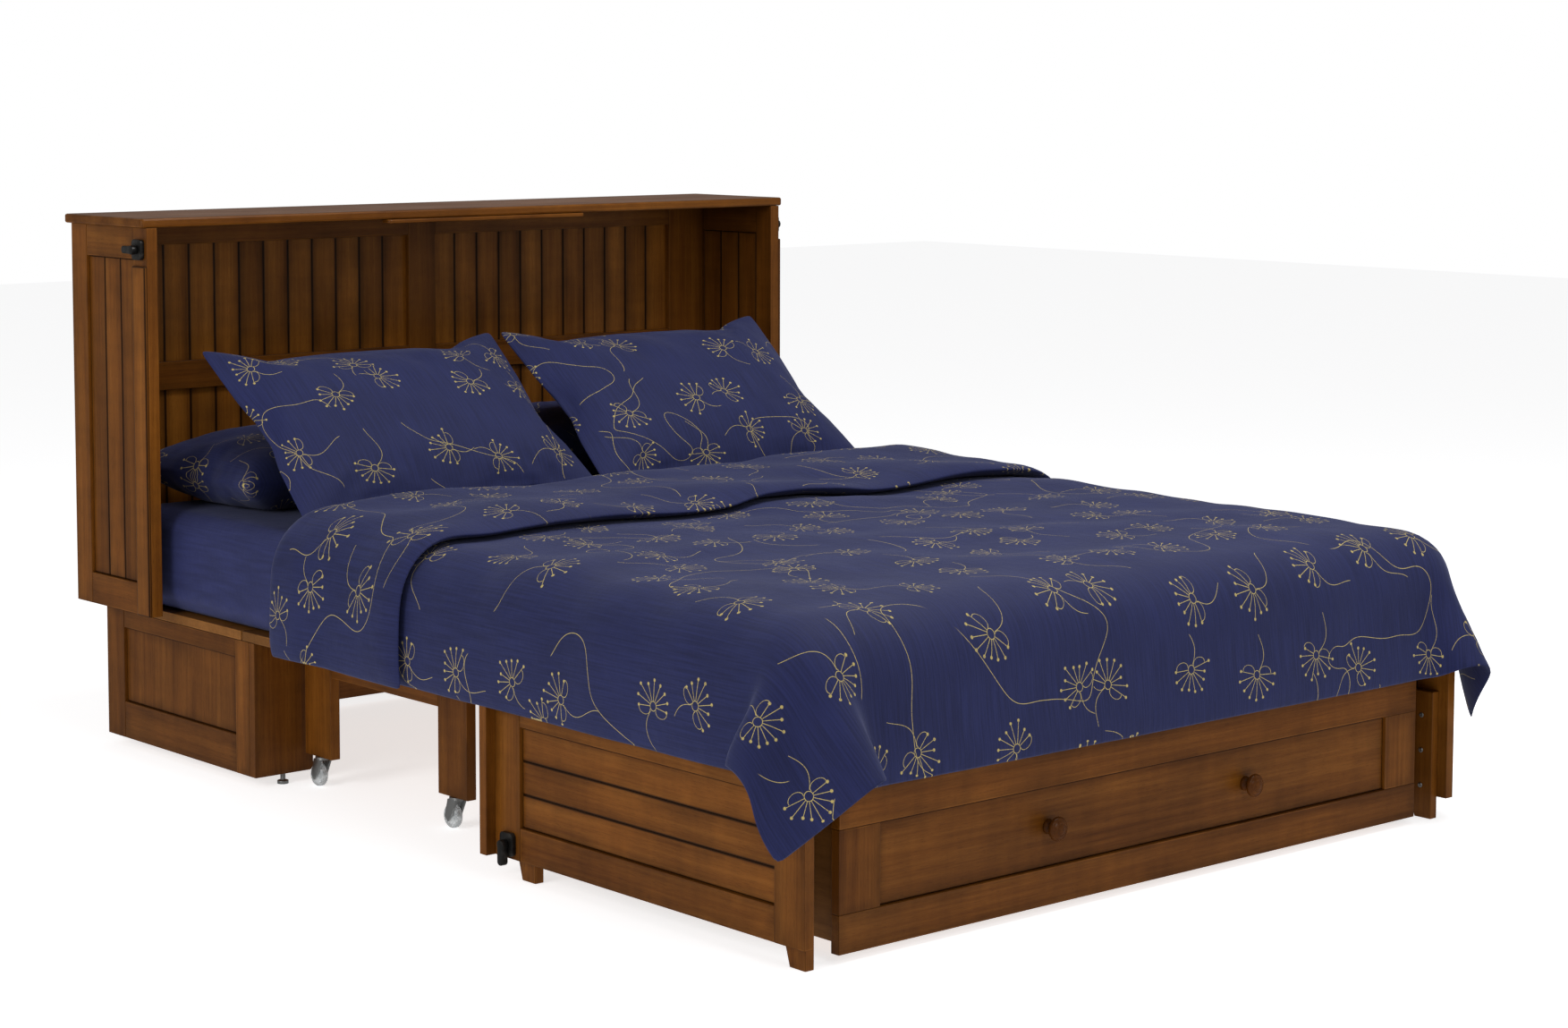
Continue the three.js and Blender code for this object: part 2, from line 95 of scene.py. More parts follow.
paint.inputs["Emission Strength"].default_value = 0.70
floor_mesh.materials.append(floor_paint)
print("floor", 2 * FLOOR_HALF, "m square")

# %% [markdown]
# ## Surround
# The surround is white to the eye, but a fully white room would light the bed from all
# sides and wash out its colours. So it looks white and gives only part of that light.

# %% Surround
SEEN_WHITE, LIGHTS_ROOM = 1.0, 0.26
world = bpy.data.worlds.new("surround")
world.use_nodes = True
sky = world.node_tree.nodes
seen = sky.new("ShaderNodeLightPath")
strength = sky.new("ShaderNodeMapRange")
strength.inputs["To Min"].default_value = LIGHTS_ROOM
strength.inputs["To Max"].default_value = SEEN_WHITE
world.node_tree.links.new(seen.outputs["Is Camera Ray"], strength.inputs["Value"])
world.node_tree.links.new(strength.outputs[0], sky["Background"].inputs["Strength"])
sky["Background"].inputs["Color"].default_value = (1.0, 1.0, 1.0, 1)
bpy.context.scene.world = world
bpy.context.scene.view_settings.view_transform = "Standard"
print("surround looks", SEEN_WHITE, "and lights", LIGHTS_ROOM)

# %% [markdown]
# ## Lights
# Three large soft lights. One stands at the foot and shows the drawer front, a stronger
# one at the left shows the sides, and the strongest hangs above and shows the bedding.
# The cabinet's inside gets little of any, so it stays deep.


# %% Lights
def soft_light(name, place, aim, size, watts):
    data = bpy.data.lights.new(name, "AREA")
    data.shape, data.size, data.energy = "DISK", size, watts
    lamp = bpy.data.objects.new(name, data)
    bpy.context.scene.collection.objects.link(lamp)
    lamp.location = place
    lamp.rotation_euler = (Vector(aim) - Vector(place)).to_track_quat("-Z", "Y").to_euler()
    return lamp


soft_light("key", (-1.0, -4.4, 2.4), (0.2, -0.6, 0.2), 2.0, 28)
soft_light("side", (-4.4, -0.4, 2.0), (0, 0.2, 0.4), 2.0, 60)
soft_light("top", (0.5, -1.1, 3.6), (0.1, -0.6, 0.4), 2.4, 100)

# %% [markdown]
# ## A small language for finishes
# Every finish below is a graph of nodes. Writing each node by hand is long and hard to
# read, so this class adds one node in one call, and joins or sets its inputs.


# %% Graph helper
class Graph:
    def __init__(self, name):
        self.material = bpy.data.materials.new(name)
        self.material.use_nodes = True
        self.tree = self.material.node_tree
        self.shader = self.tree.nodes["Principled BSDF"]

    def add(self, kind, inputs=None, **settings):
        node = self.tree.nodes.new("ShaderNode" + kind)
        for key, value in settings.items():
            setattr(node, key, value)
        for key, value in (inputs or {}).items():
            self.set(node.inputs[key], value)
        return node

    def set(self, socket, value):
        if isinstance(value, bpy.types.NodeSocket):
            self.tree.links.new(value, socket)
        else:
            socket.default_value = value

    def math(self, operation, a, b=0.0, clamp=False):
        node = self.add("Math", {0: a, 1: b}, operation=operation, use_clamp=clamp)
        return node.outputs[0]

    def vector(self, operation, a, b):
        return self.add("VectorMath", {0: a, 1: b}, operation=operation).outputs[0]

    def step(self, value, low, high, start=0.0, end=1.0):
        node = self.add("MapRange", {0: value, 1: low, 2: high, 3: start, 4: end},
                        interpolation_type="SMOOTHSTEP")
        return node.outputs[0]

    def mix(self, share, a, b, blend="MIX"):
        node = self.add("Mix", {0: share, 6: a, 7: b}, data_type="RGBA", blend_type=blend)
        return node.outputs[2]

    def noise(self, where, scale, detail=3.0, roughness=0.55, size="3D"):
        node = self.add("TexNoise", {"Vector": where, "Scale": scale, "Detail": detail,
                                     "Roughness": roughness}, noise_dimensions=size)
        return node.outputs[0]

    def attribute(self, name):
        return self.add("Attribute", attribute_name=name)

    def bump(self, height, strength, distance):
        node = self.add("Bump", {"Height": height, "Strength": strength, "Distance": distance})
        self.set(self.shader.inputs["Normal"], node.outputs[0])

    def finish(self, colour=None, **uniform):
        if colour is not None:
            self.set(self.shader.inputs["Base Color"], colour)
        for key, value in uniform.items():
            self.set(self.shader.inputs[key.replace("_", " ")], value)
        return self.material


print("graph helper ready")

# %% [markdown]
# ## Stained wood
# The maker sprays a brown stain over the boards and shades it: each board is dark along
# its edges and lighter in the middle, and the grain runs along its length. Long stretched
# noises make the grain. A picture of
# wood can't know where a board ends. So each board carries its own numbers on its mesh:
# `place`, where a point is on the board, `half`, half the board's size, `tone`, a chance
# value that makes no two boards alike, and `glaze`, 1 where its edges hold dark glaze.


# %% Grain
# Each pair of numbers is how often the wood varies in a metre, along its grain and across it.
FIGURE, STREAK, CLOUD, PORE, FLAME = (1.1, 13.0), (4.0, 150.0), (5.0, 9.0), (60.0, 1100.0), (34.0, 7.0)
TONE_SHIFT = (7.3, 3.1, 5.7)          # metres that a board's tone moves it through the grain
GRAIN_SHARES = 0.60, 0.40             # of figure and of streak


def varied(g, where, per_metre, detail, roughness):
    """Noise that is stretched along the grain."""
    along, across = per_metre
    return g.noise(g.vector("MULTIPLY", where, (along, across, across)), 1.0, detail, roughness)


def product(g, *values):
    total = values[0]
    for value in values[1:]:
        total = g.math("MULTIPLY", total, value)
    return total


def grain_colours(g, figure, streak, dark, middle, light):
    """The stain's colour, from the grain's dark lines to its light ones."""
    shares = [g.math("MULTIPLY", part, share) for part, share in zip((figure, streak), GRAIN_SHARES)]
    ramp = g.add("ValToRGB", {0: g.math("ADD", *shares)})
    stops = ramp.color_ramp.elements
    stops[0].position, stops[0].color = 0.30, (*dark, 1)
    stops[1].position, stops[1].color = 0.70, (*light, 1)
    stops.new(0.50).color = (*middle, 1)
    return ramp.outputs[0]


print("grain shares", GRAIN_SHARES)

# %% [markdown]
# ## Stain at the edges
# A sprayer darkens the edges, a groove holds glaze, and a lighter band along the plain edges is painted
# highlight.
# All three depend on how far a point is from the nearest edge of its own board, so that
# distance is worked out once, and each effect is a soft step along it.


# %% Edges
def rim_distances(g, place):
    """How far a point is from the board's nearest edge, and from its side faces."""
    place_axes = g.add("SeparateXYZ", {0: place}).outputs
    half_axes = g.add("SeparateXYZ", {0: g.attribute("half").outputs["Vector"]}).outputs
    along, across, through = [g.math("SUBTRACT", half_axes[i], g.math("ABSOLUTE", place_axes[i]))
                              for i in range(3)]
    nearer, farther = g.math("MINIMUM", along, across), g.math("MAXIMUM", along, across)
    # An edge is where two faces meet, so the second smallest of the three distances finds it.
    return g.math("MAXIMUM", nearer, g.math("MINIMUM", farther, through)), across


def stain_shading(g, rim, across, cloud, shading):
    """Darker towards a board's edges, with a ragged limit, but not on its side faces."""
    ragged = g.math("MULTIPLY", g.math("SUBTRACT", cloud, 0.5), 0.035)
    shade = g.step(g.math("ADD", rim, ragged), -0.004, 0.026, 1.0 - shading, 1.0)
    return g.math("MAXIMUM", shade, g.step(across, 0.0008, 0.0016, 1.0, 0.0))


def joint_lines(g, rim, glaze, bare):
    """Near black in the grooves that hold glaze, and a fine dark line at plain joints."""
    joint = g.math("MULTIPLY", g.step(rim, 0.0004, 0.0011, 0.45, 0.0), bare)
    groove = g.math("MULTIPLY", g.step(rim, 0.0012, 0.0042, 0.86, 0.0), glaze)
    return g.math("SUBTRACT", 1.0, g.math("ADD", joint, groove))


def painted_edge_highlight(g, rim, cloud, bare):
    """Thin lighter patches along plain edges: a painted highlight, where the edges would catch the light."""
    band = product(g, g.step(rim, 0.0008, 0.0014), g.step(rim, 0.0018, 0.0032, 1.0, 0.0))
    return product(g, band, g.step(cloud, 0.45, 0.60), g.math("MULTIPLY", bare, 0.35))


print("edge helpers ready")

# %% [markdown]
# ## The finished wood
# The grain gives the colour, and everything that darkens it is multiplied together. The
# surface is a thin satin lacquer: open pores dent it a little, and it is duller over them.


# %% Stained wood
def stained_wood(name, dark, middle, light, shading=0.26, gloss=0.34):
    g = Graph(name)
    place = g.attribute("place").outputs["Vector"]
    tone = g.attribute("tone").outputs["Fac"]
    glaze = g.attribute("glaze").outputs["Fac"]
    bare = g.math("SUBTRACT", 1.0, glaze)
    shift = [g.math("MULTIPLY", tone, metres) for metres in TONE_SHIFT]
    wander = g.vector("ADD", place, g.add("CombineXYZ", dict(zip("XYZ", shift))).outputs[0])
    figure = varied(g, wander, FIGURE, 5.0, 0.6)
    streak = varied(g, wander, STREAK, 4.0, 0.65)
    cloud = varied(g, wander, CLOUD, 3.0, 0.55)
    pore = varied(g, wander, PORE, 2.0, 0.7)
    flame = varied(g, wander, FLAME, 2.0, 0.5)

    rim, across = rim_distances(g, place)
    mottle = product(g, g.step(cloud, 0.25, 0.75, 0.86, 1.10), g.step(flame, 0.3, 0.7, 0.94, 1.06))
    lit = product(g, stain_shading(g, rim, across, cloud, shading), g.step(pore, 0.32, 0.46, 0.72, 1.0),
                  mottle, joint_lines(g, rim, glaze, bare), g.step(tone, 0.0, 1.0, 0.88, 1.12))
    grey = g.add("CombineColor", {0: lit, 1: lit, 2: lit}).outputs[0]
    colour = g.mix(1.0, grain_colours(g, figure, streak, dark, middle, light), grey, "MULTIPLY")
    # Painted highlight: the plain edges are mixed towards a lighter colour, where they would catch the
    # light.
    highlight_colour = (*[min(1.0, 1.3 * c) for c in light], 1)
    colour = g.mix(painted_edge_highlight(g, rim, cloud, bare), colour, highlight_colour)

    fibres = g.math("ADD", g.math("MULTIPLY", pore, 0.6), g.math("MULTIPLY", streak, 0.4))
    g.bump(fibres, 0.22, 0.0005)
    dull = g.math("ADD", g.math("MULTIPLY", cloud, 0.5), g.math("MULTIPLY", pore, 0.5))
    return g.finish(colour, Roughness=g.step(dull, 0.2, 0.8, gloss + 0.12, gloss - 0.06),
                    Coat_Weight=0.03, Coat_Roughness=0.12, Specular_IOR_Level=0.13)


print("stained wood ready")

# %% [markdown]
# ## Four woods
# The frames are red-brown and the headboard's planks more golden. The deck and the drawer
# box are plain honey-coloured wood, and the knobs are darker and a little shinier. Each
# has a dark, a middle and a light colour.

# %% Wood colours
RED_BROWN = (0.072, 0.0205, 0.0022), (0.135, 0.0440, 0.0050), (0.200, 0.0720, 0.0095)
GOLDEN_BROWN = (0.105, 0.0320, 0.0034), (0.195, 0.0680, 0.0080), (0.275, 0.1030, 0.0140)
HONEY = (0.120, 0.0450, 0.0080), (0.185, 0.0730, 0.0140), (0.250, 0.1040, 0.0230)
KNOB_BROWN = (0.036, 0.0100, 0.0015), (0.066, 0.0200, 0.0030), (0.105, 0.0340, 0.0060)
frame_wood = stained_wood("frame_wood", *RED_BROWN)
panel_wood = stained_wood("panel_wood", *GOLDEN_BROWN, shading=0.42)
deck_wood = stained_wood("deck_wood", *HONEY, shading=0.18, gloss=0.45)
knob_wood = stained_wood("knob_wood", *KNOB_BROWN, shading=0.0, gloss=0.20)
print("woods", frame_wood.name, panel_wood.name, deck_wood.name)

# %% [markdown]
# ## Boards
# A board could be a plain box, but real boards have eased edges, and two of them meet at
# a fine dark line. Each board here is a box with a small bevel, and its numbers for the
# shader are worked out as it is made. Boards of one sub-part are joined in one mesh.

# %% Boards
chance = np.random.default_rng(7)
GLAZED_EASE = 0.002          # a wider easing than this is a groove, and it holds dark glaze
GRAIN_ORDER = {"x": (0, 1, 2), "y": (1, 0, 2), "z": (2, 0, 1)}


def board_frame(low, high, grain):
    """The board's axes, with the grain first and its wider cross axis second."""
    first, a, b = GRAIN_ORDER[grain]
    size = [h - l for l, h in zip(low, high)]
    return (first, a, b) if size[a] >= size[b] else (first, b, a)


def eased_box(low, high, ease):
    shape = bmesh.new()
    bmesh.ops.create_cube(shape, size=1)
    middle = [(l + h) / 2 for l, h in zip(low, high)]
    size = [h - l for l, h in zip(low, high)]
    for corner in shape.verts:
        corner.co = [m + c * s for m, c, s in zip(middle, corner.co, size)]
    bmesh.ops.bevel(shape, geom=shape.edges[:], offset=min(ease, 0.45 * min(size)),
                    segments=2, profile=0.6, affect="EDGES")
    shape.verts.ensure_lookup_table()
    points = [tuple(v.co) for v in shape.verts]
    faces = [[v.index for v in f.verts] for f in shape.faces]
    shape.free()
    return points, faces


def mark_board(mesh, parts):
    """Writes place, half, tone and glaze for runs of points: (count, low, high, axes, glaze)."""
    points = np.array([v.co for v in mesh.vertices])
    place, half = np.zeros_like(points), np.zeros_like(points)
    tone, glaze = np.zeros(len(points), np.float32), np.zeros(len(points), np.float32)
    start = 0
    for count, low, high, axes, dark_rim in parts:
        run = slice(start, start + count)
        low, high = np.array(low), np.array(high)
        place[run] = (points[run] - (low + high) / 2)[:, axes]
        half[run] = ((high - low) / 2)[list(axes)]
        tone[run], glaze[run] = chance.random(), dark_rim
        start += count
    for name, values in (("place", place), ("half", half)):
        layer = mesh.attributes.new(name, "FLOAT_VECTOR", "POINT")
        layer.data.foreach_set("vector", values.astype(np.float32).ravel())
    for name, values in (("tone", tone), ("glaze", glaze)):
        mesh.attributes.new(name, "FLOAT", "POINT").data.foreach_set("value", values)


def mark_whole(mesh, low, high, grain):
    """The same for a mesh that is one board."""
    mark_board(mesh, [(len(mesh.vertices), tuple(low), tuple(high), board_frame(low, high, grain), 0.0)])


print("boards carry place, half, tone and glaze")

# %% [markdown]
# ## Making a piece of boards
# Most pieces are several boxes in one mesh. A few have an outline of their own, and those
# are copied from the CAD, so that tapers and rounded corners are kept.


# %% Pieces
def show(name, mesh, material, nodes, body="bed"):
    piece = bpy.data.objects.new(name, mesh)
    bpy.context.scene.collection.objects.link(piece)
    mesh.materials.append(material)
    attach(piece, body)
    if nodes:
        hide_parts(*nodes)
    return piece


def boards(name, nodes, parts, material, body="bed"):
    """One piece from several boards: (low corner, high corner, grain axis, edge ease)."""
    points, faces, marks = [], [], []
    for low, high, grain, ease in parts:
        own_points, own_faces = eased_box(low, high, ease)
        faces += [[i + len(points) for i in face] for face in own_faces]
        points += own_points
        holds_glaze = float(ease > GLAZED_EASE)
        marks.append((len(own_points), low, high, board_frame(low, high, grain), holds_glaze))
    mesh = bpy.data.meshes.new(name)
    mesh.from_pydata(points, [], faces)
    mark_board(mesh, marks)
    for face in mesh.polygons:
        face.use_smooth = False
    return show(name, mesh, material, nodes, body)


def shaped(node, grain, material, body="bed", ease=0.0015):
    """A piece with the CAD node's own outline, given eased edges and a board's numbers."""
    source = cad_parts[node].data
    mesh = bpy.data.meshes.new(node + "_made")
    shape = bmesh.new()
    shape.from_mesh(source)
    bmesh.ops.remove_doubles(shape, verts=shape.verts, dist=1e-6)
    bmesh.ops.dissolve_limit(shape, angle_limit=0.01, verts=shape.verts, edges=shape.edges)
    if ease:
        sharp = [e for e in shape.edges if len(e.link_faces) == 2 and e.calc_face_angle(0) > 0.6]
        bmesh.ops.bevel(shape, geom=sharp, offset=ease, segments=2, profile=0.6, affect="EDGES")
    shape.to_mesh(mesh)
    shape.free()
    low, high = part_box(node)
    mark_whole(mesh, low, high, grain)
    for face in mesh.polygons:
        face.use_smooth = False
    return show(node + "_made", mesh, material, [node], body)


print("board helpers ready")

# %% [markdown]
# ## Framed sides
# The cabinet's sides, the rear base's sides and the front base's sides are frames: two
# stiles that run from top to bottom, two rails between them, and planks set back inside.
# The planks touch, and their wider bevels leave a V groove between each two. A batten
# stands on the front edge of each cabinet side, under the latch.

# %% Framed sides
RECESS = 0.006               # how far the planks stand back from the frame
PLANK_EASE = 0.0026
FRAME_EASE = 0.0012
LEVEL = 0.0004               # a rail stands this much behind a stile, so their joint shows
CABINET = {"low_rail": 0.062, "high_rail": 0.062, "near_stile": 0.050, "far_stile": 0.060, "planks": 3}
REAR_BASE = {"low_rail": 0.074, "high_rail": 0.034, "near_stile": 0.048, "far_stile": 0.068, "planks": 1}
FRONT_BASE = {"low_rail": 0.057, "high_rail": 0.031, "near_stile": 0.069, "far_stile": 0.069, "planks": 3}
BATTEN_PROUD, BATTEN_WIDTH, BATTEN_DROP, BATTEN_EASE = 0.006, 0.048, 0.075, 0.0032


def framed_side(node, side, sizes, upright=True, proud=0.0, extra=()):
    """A frame with planks in it. `proud` is how far an added batten stands out of its face."""
    (x0, y0, z0), (x1, y1, z1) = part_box(node)
    inner, outer = (x0, x1 - proud) if side > 0 else (x1, x0 + proud)
    sunk, rail_face = outer - side * RECESS, outer - side * LEVEL

    def part(face, ya, yb, za, zb, grain, ease):
        return ((min(inner, face), ya, za), (max(inner, face), yb, zb), grain, ease)

    ya, yb = y0 + sizes["near_stile"], y1 - sizes["far_stile"]
    za, zb = z0 + sizes["low_rail"], z1 - sizes["high_rail"]
    parts = [part(outer, y0, ya, z0, z1, "z", FRAME_EASE),
             part(outer, yb, y1, z0, z1, "z", FRAME_EASE),
             part(rail_face, ya, yb, z0, za, "y", FRAME_EASE),
             part(rail_face, ya, yb, zb, z1, "y", FRAME_EASE)]
    for i in range(sizes["planks"]):
        a, b = i / sizes["planks"], (i + 1) / sizes["planks"]
        if upright:
            parts.append(part(sunk, ya + a * (yb - ya), ya + b * (yb - ya), za, zb, "z", PLANK_EASE))
        else:
            parts.append(part(sunk, ya, yb, za + a * (zb - za), za + b * (zb - za), "y", PLANK_EASE))
    return boards(node + "_boards", [node], parts + list(extra), frame_wood)


for label, side in SIDES:
    side_low, side_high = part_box(f"cabinet_side_{label}")
    outer = (side_high.x if side > 0 else side_low.x) - side * BATTEN_PROUD
    xs = sorted((outer - side * 0.001, outer + side * BATTEN_PROUD))
    batten = ((xs[0], side_low.y, side_low.z),
              (xs[1], side_low.y + BATTEN_WIDTH, side_high.z + 0.0003 - BATTEN_DROP), "z", BATTEN_EASE)
    framed_side(f"cabinet_side_{label}", side, CABINET, proud=BATTEN_PROUD, extra=[batten])
    framed_side(f"rear_base_side_{label}", side, REAR_BASE)
    framed_side(f"front_base_side_{label}", side, FRONT_BASE, upright=False)

# %% [markdown]
# ## Headboard
# The inside back of the cabinet is one wide frame with a stile in the middle and a rail
# at half height. Behind it stand grooved planks, eleven to each half.

# %% Headboard
END_STILE, CENTRE_HALF, LOW_RAIL, TOP_RAIL = 0.100, 0.035, 0.060, 0.048
MIDDLE_RAIL = (0.716, 0.773)
back_low, back_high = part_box("headboard_frame")
rails = ((back_low.z, back_low.z + LOW_RAIL), MIDDLE_RAIL, (back_high.z - TOP_RAIL, back_high.z))
back_parts = [((-CENTRE_HALF, back_low.y, back_low.z), (CENTRE_HALF, back_high.y, back_high.z),
               "z", FRAME_EASE)]
for label, side in SIDES:
    xs = sorted((side * (back_high.x - END_STILE), side * back_high.x))
    back_parts.append(((xs[0], back_low.y, back_low.z), (xs[1], back_high.y, back_high.z), "z", FRAME_EASE))
    xs = sorted((side * CENTRE_HALF, side * (back_high.x - END_STILE)))
    for z0, z1 in rails:
        back_parts.append(((xs[0], back_low.y + LEVEL, z0), (xs[1], back_high.y, z1), "x", FRAME_EASE))
boards("headboard_frame_boards", ["headboard_frame"], back_parts, frame_wood)
print("headboard rails", [[round(z, 3) for z in rail] for rail in rails])

# %% [markdown]
# Each half of the headboard is a panel of planks. The outermost one runs on behind the end
# stile, as a real panel does, so no gap can open when the wood shrinks.

# %% Headboard planks
HEADBOARD_PLANKS = 11
HIDDEN_EDGE = 0.020          # how far the outermost plank runs on behind the end stile
CENTRE_GAP = 0.0004
for label, side in SIDES:
    node = f"headboard_panel_{label}"
    panel_low, panel_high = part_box(node)
    outer = max(abs(panel_low.x), abs(panel_high.x)) - HIDDEN_EDGE
    lines = np.linspace(CENTRE_HALF, outer, HEADBOARD_PLANKS + 1)
    lines[0], lines[-1] = CENTRE_GAP, outer + HIDDEN_EDGE
    planks = []
    for a, b in zip(lines[:-1], lines[1:]):
        xs = sorted((side * a, side * b))
        planks.append(((xs[0], panel_low.y, panel_low.z), (xs[1], panel_high.y, panel_high.z),
                       "z", PLANK_EASE))
    boards(node + "_planks", [node], planks, panel_wood)
print("headboard planks", 2 * HEADBOARD_PLANKS)

# %% [markdown]
# ## Plain boards, legs and the top
# The other wooden parts are single boards with the CAD outline, so each is copied from
# its node, its edges are eased, and its grain runs along its length. The top and the lift
# strip have their rounded edges in the CAD already.

# %% Plain boards
UPRIGHTS = ("rear_base_front", "front_base_post")
LEGS = ("middle_leg_front", "middle_leg_back", "front_base_leg_front", "front_base_leg_back")
for label, side in SIDES:
    for name in UPRIGHTS:
        shaped(f"{name}_{label}", "z", frame_wood)
    shaped(f"middle_apron_{label}", "y", frame_wood)
    for name in LEGS:
        shaped(f"{name}_{label}", "z", frame_wood)
shaped("rear_base_back", "x", frame_wood)
shaped("front_base_rail", "x", frame_wood, ease=0.005)
shaped("cabinet_top", "x", frame_wood, ease=0.0)
shaped("lift_strip", "x", frame_wood, ease=0.0)
for label in ("front", "middle", "rear"):
    shaped(f"deck_{label}", "x", deck_wood)

# %% [markdown]
# ## Drawer
# The drawer front is a frame round one long sunk panel, with two turned knobs. The box
# behind it is paler wood, five boards open at the top, and it rides with the drawer.

# %% Drawer
DRAWER_STILE, DRAWER_RAIL, WALL = 0.087, 0.062, 0.012
(x0, y0, z0), (x1, y1, z1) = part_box("drawer_front")
xa, xb, za, zb = x0 + DRAWER_STILE, x1 - DRAWER_STILE, z0 + DRAWER_RAIL, z1 - DRAWER_RAIL
front_parts = [((x0, y0 + LEVEL, za), (xa, y1, zb), "z", FRAME_EASE),
               ((xb, y0 + LEVEL, za), (x1, y1, zb), "z", FRAME_EASE),
               ((x0, y0, z0), (x1, y1, za), "x", FRAME_EASE),
               ((x0, y0, zb), (x1, y1, z1), "x", FRAME_EASE),
               ((xa, y0 + RECESS, za), (xb, y1, zb), "x", PLANK_EASE)]
boards("drawer_front_boards", ["drawer_front"], front_parts, frame_wood, body="drawer")

(x0, y0, z0), (x1, y1, z1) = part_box("drawer_box")
xa, xb, ya, yb = x0 + WALL, x1 - WALL, y0 + WALL, y1 - WALL
box_parts = [((x0, y0, z0), (xa, y1, z1), "y", FRAME_EASE),
             ((xb, y0, z0), (x1, y1, z1), "y", FRAME_EASE),
             ((xa, y0, z0), (xb, ya, z1), "x", FRAME_EASE),
             ((xa, yb, z0), (xb, y1, z1), "x", FRAME_EASE),
             ((xa, ya, z0), (xb, yb, z0 + WALL), "x", FRAME_EASE)]
boards("drawer_box_boards", ["drawer_box"], box_parts, deck_wood, "drawer")
print("drawer runs on body", "drawer")

# %% [markdown]
# ## Turned knobs
# A knob is turned on a lathe: a foot, a narrow neck, and a wide head with two rings cut
# in its face. The profile is a handful of radii against depth, spun round the Y axis.


# %% Turned knobs
def turned(name, profile, centre, axis, around, material, nodes, body, grain=None):
    """Spins (radius, distance) pairs round an axis line through centre."""
    axis = Vector(axis).normalized()
    across = axis.orthogonal().normalized()
    up = axis.cross(across)
    points, faces = [], []
    for radius, distance in profile:
        for i in range(around):
            turn = 2 * math.pi * i / around
            outward = math.cos(turn) * across + math.sin(turn) * up
            points.append(centre + axis * distance + radius * outward)
    for ring in range(len(profile) - 1):
        for i in range(around):
            a, b = ring * around + i, ring * around + (i + 1) % around
            faces.append((a, b, b + around, a + around))
    mesh = bpy.data.meshes.new(name)
    mesh.from_pydata([tuple(p) for p in points], [], faces)
    for face in mesh.polygons:
        face.use_smooth = True
    shape = bmesh.new()
    shape.from_mesh(mesh)
    bmesh.ops.remove_doubles(shape, verts=shape.verts, dist=1e-6)
    bmesh.ops.recalc_face_normals(shape, faces=shape.faces)
    shape.to_mesh(mesh)
    shape.free()
    if grain:
        mark_whole(mesh, *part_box(nodes[0]), grain)
    return show(name, mesh, material, nodes, body)


# Each pair is a share of the knob's radius and a share of its length.
FOOT = (0, 0), (0.62, 0), (0.64, 0.05), (0.60, 0.14)
NECK = (0.44, 0.22), (0.40, 0.32), (0.42, 0.42), (0.60, 0.50)
HEAD = (0.90, 0.56), (0.99, 0.63), (1.0, 0.70), (0.97, 0.77), (0.90, 0.82)
OUTER_RING = (0.84, 0.845), (0.80, 0.83), (0.74, 0.86), (0.62, 0.92)
INNER_RING = (0.52, 0.945), (0.48, 0.93), (0.42, 0.955), (0.22, 0.99), (0, 1.0)
KNOB_PROFILE = FOOT + NECK + HEAD + OUTER_RING + INNER_RING
for label, side in SIDES:
    node = f"drawer_knob_{label}"
    knob_low, knob_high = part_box(node)
    centre = Vector(((knob_low.x + knob_high.x) / 2, knob_high.y, (knob_low.z + knob_high.z) / 2))
    radius, length = (knob_high.x - knob_low.x) / 2, knob_high.y - knob_low.y
    profile = [(r * radius, d * length) for r, d in KNOB_PROFILE]
    turned(node + "_turned", profile, centre, (0, -1, 0), 40, knob_wood, [node],
           "drawer", "y")
print("knob", round(2000 * radius), "mm across")

# %% [markdown]
# ## Metal and clear plastic
# The latches are black enamelled castings, a little worn where fingers turn them. The
# feet and caster forks are zinc plated. The wheels are clear plastic, slightly cloudy.


# %% Hardware finishes
def metal(name, colour, worn, roughness, metallic):
    g = Graph(name)
    where = g.add("TexCoord").outputs["Object"]
    patch = g.noise(where, 45.0, 4.0, 0.6)
    fine = g.noise(where, 900.0, 2.0, 0.6)
    tint = g.mix(g.step(patch, 0.45, 0.75), (*colour, 1), (*worn, 1))
    g.bump(fine, 0.15, 0.0003)
    dulled = g.step(patch, 0.3, 0.7, roughness, roughness + 0.18)
    return g.finish(tint, Roughness=dulled, Metallic=metallic)


latch_black = metal("latch_black", (0.012, 0.011, 0.010), (0.05, 0.045, 0.04), 0.28, 0.55)
zinc = metal("zinc", (0.42, 0.42, 0.41), (0.30, 0.30, 0.30), 0.30, 1.0)

wheel = Graph("clear_plastic")
cloudy = wheel.noise(wheel.add("TexCoord").outputs["Object"], 120.0, 2.0, 0.5)
wheel_tint = wheel.mix(cloudy, (0.80, 0.83, 0.84, 1), (0.62, 0.65, 0.66, 1))
clear_plastic = wheel.finish(wheel_tint, Roughness=wheel.step(cloudy, 0.3, 0.7, 0.12, 0.3),
                             Transmission_Weight=0.55, IOR=1.46)
print("hardware finishes", latch_black.name, zinc.name, clear_plastic.name)

# %% [markdown]
# ## Casters, feet and latches
# These small parts keep their CAD outline. A small bevel softens the sharp edges, and the
# faces between them are shaded smooth, as a casting or a moulding would look.


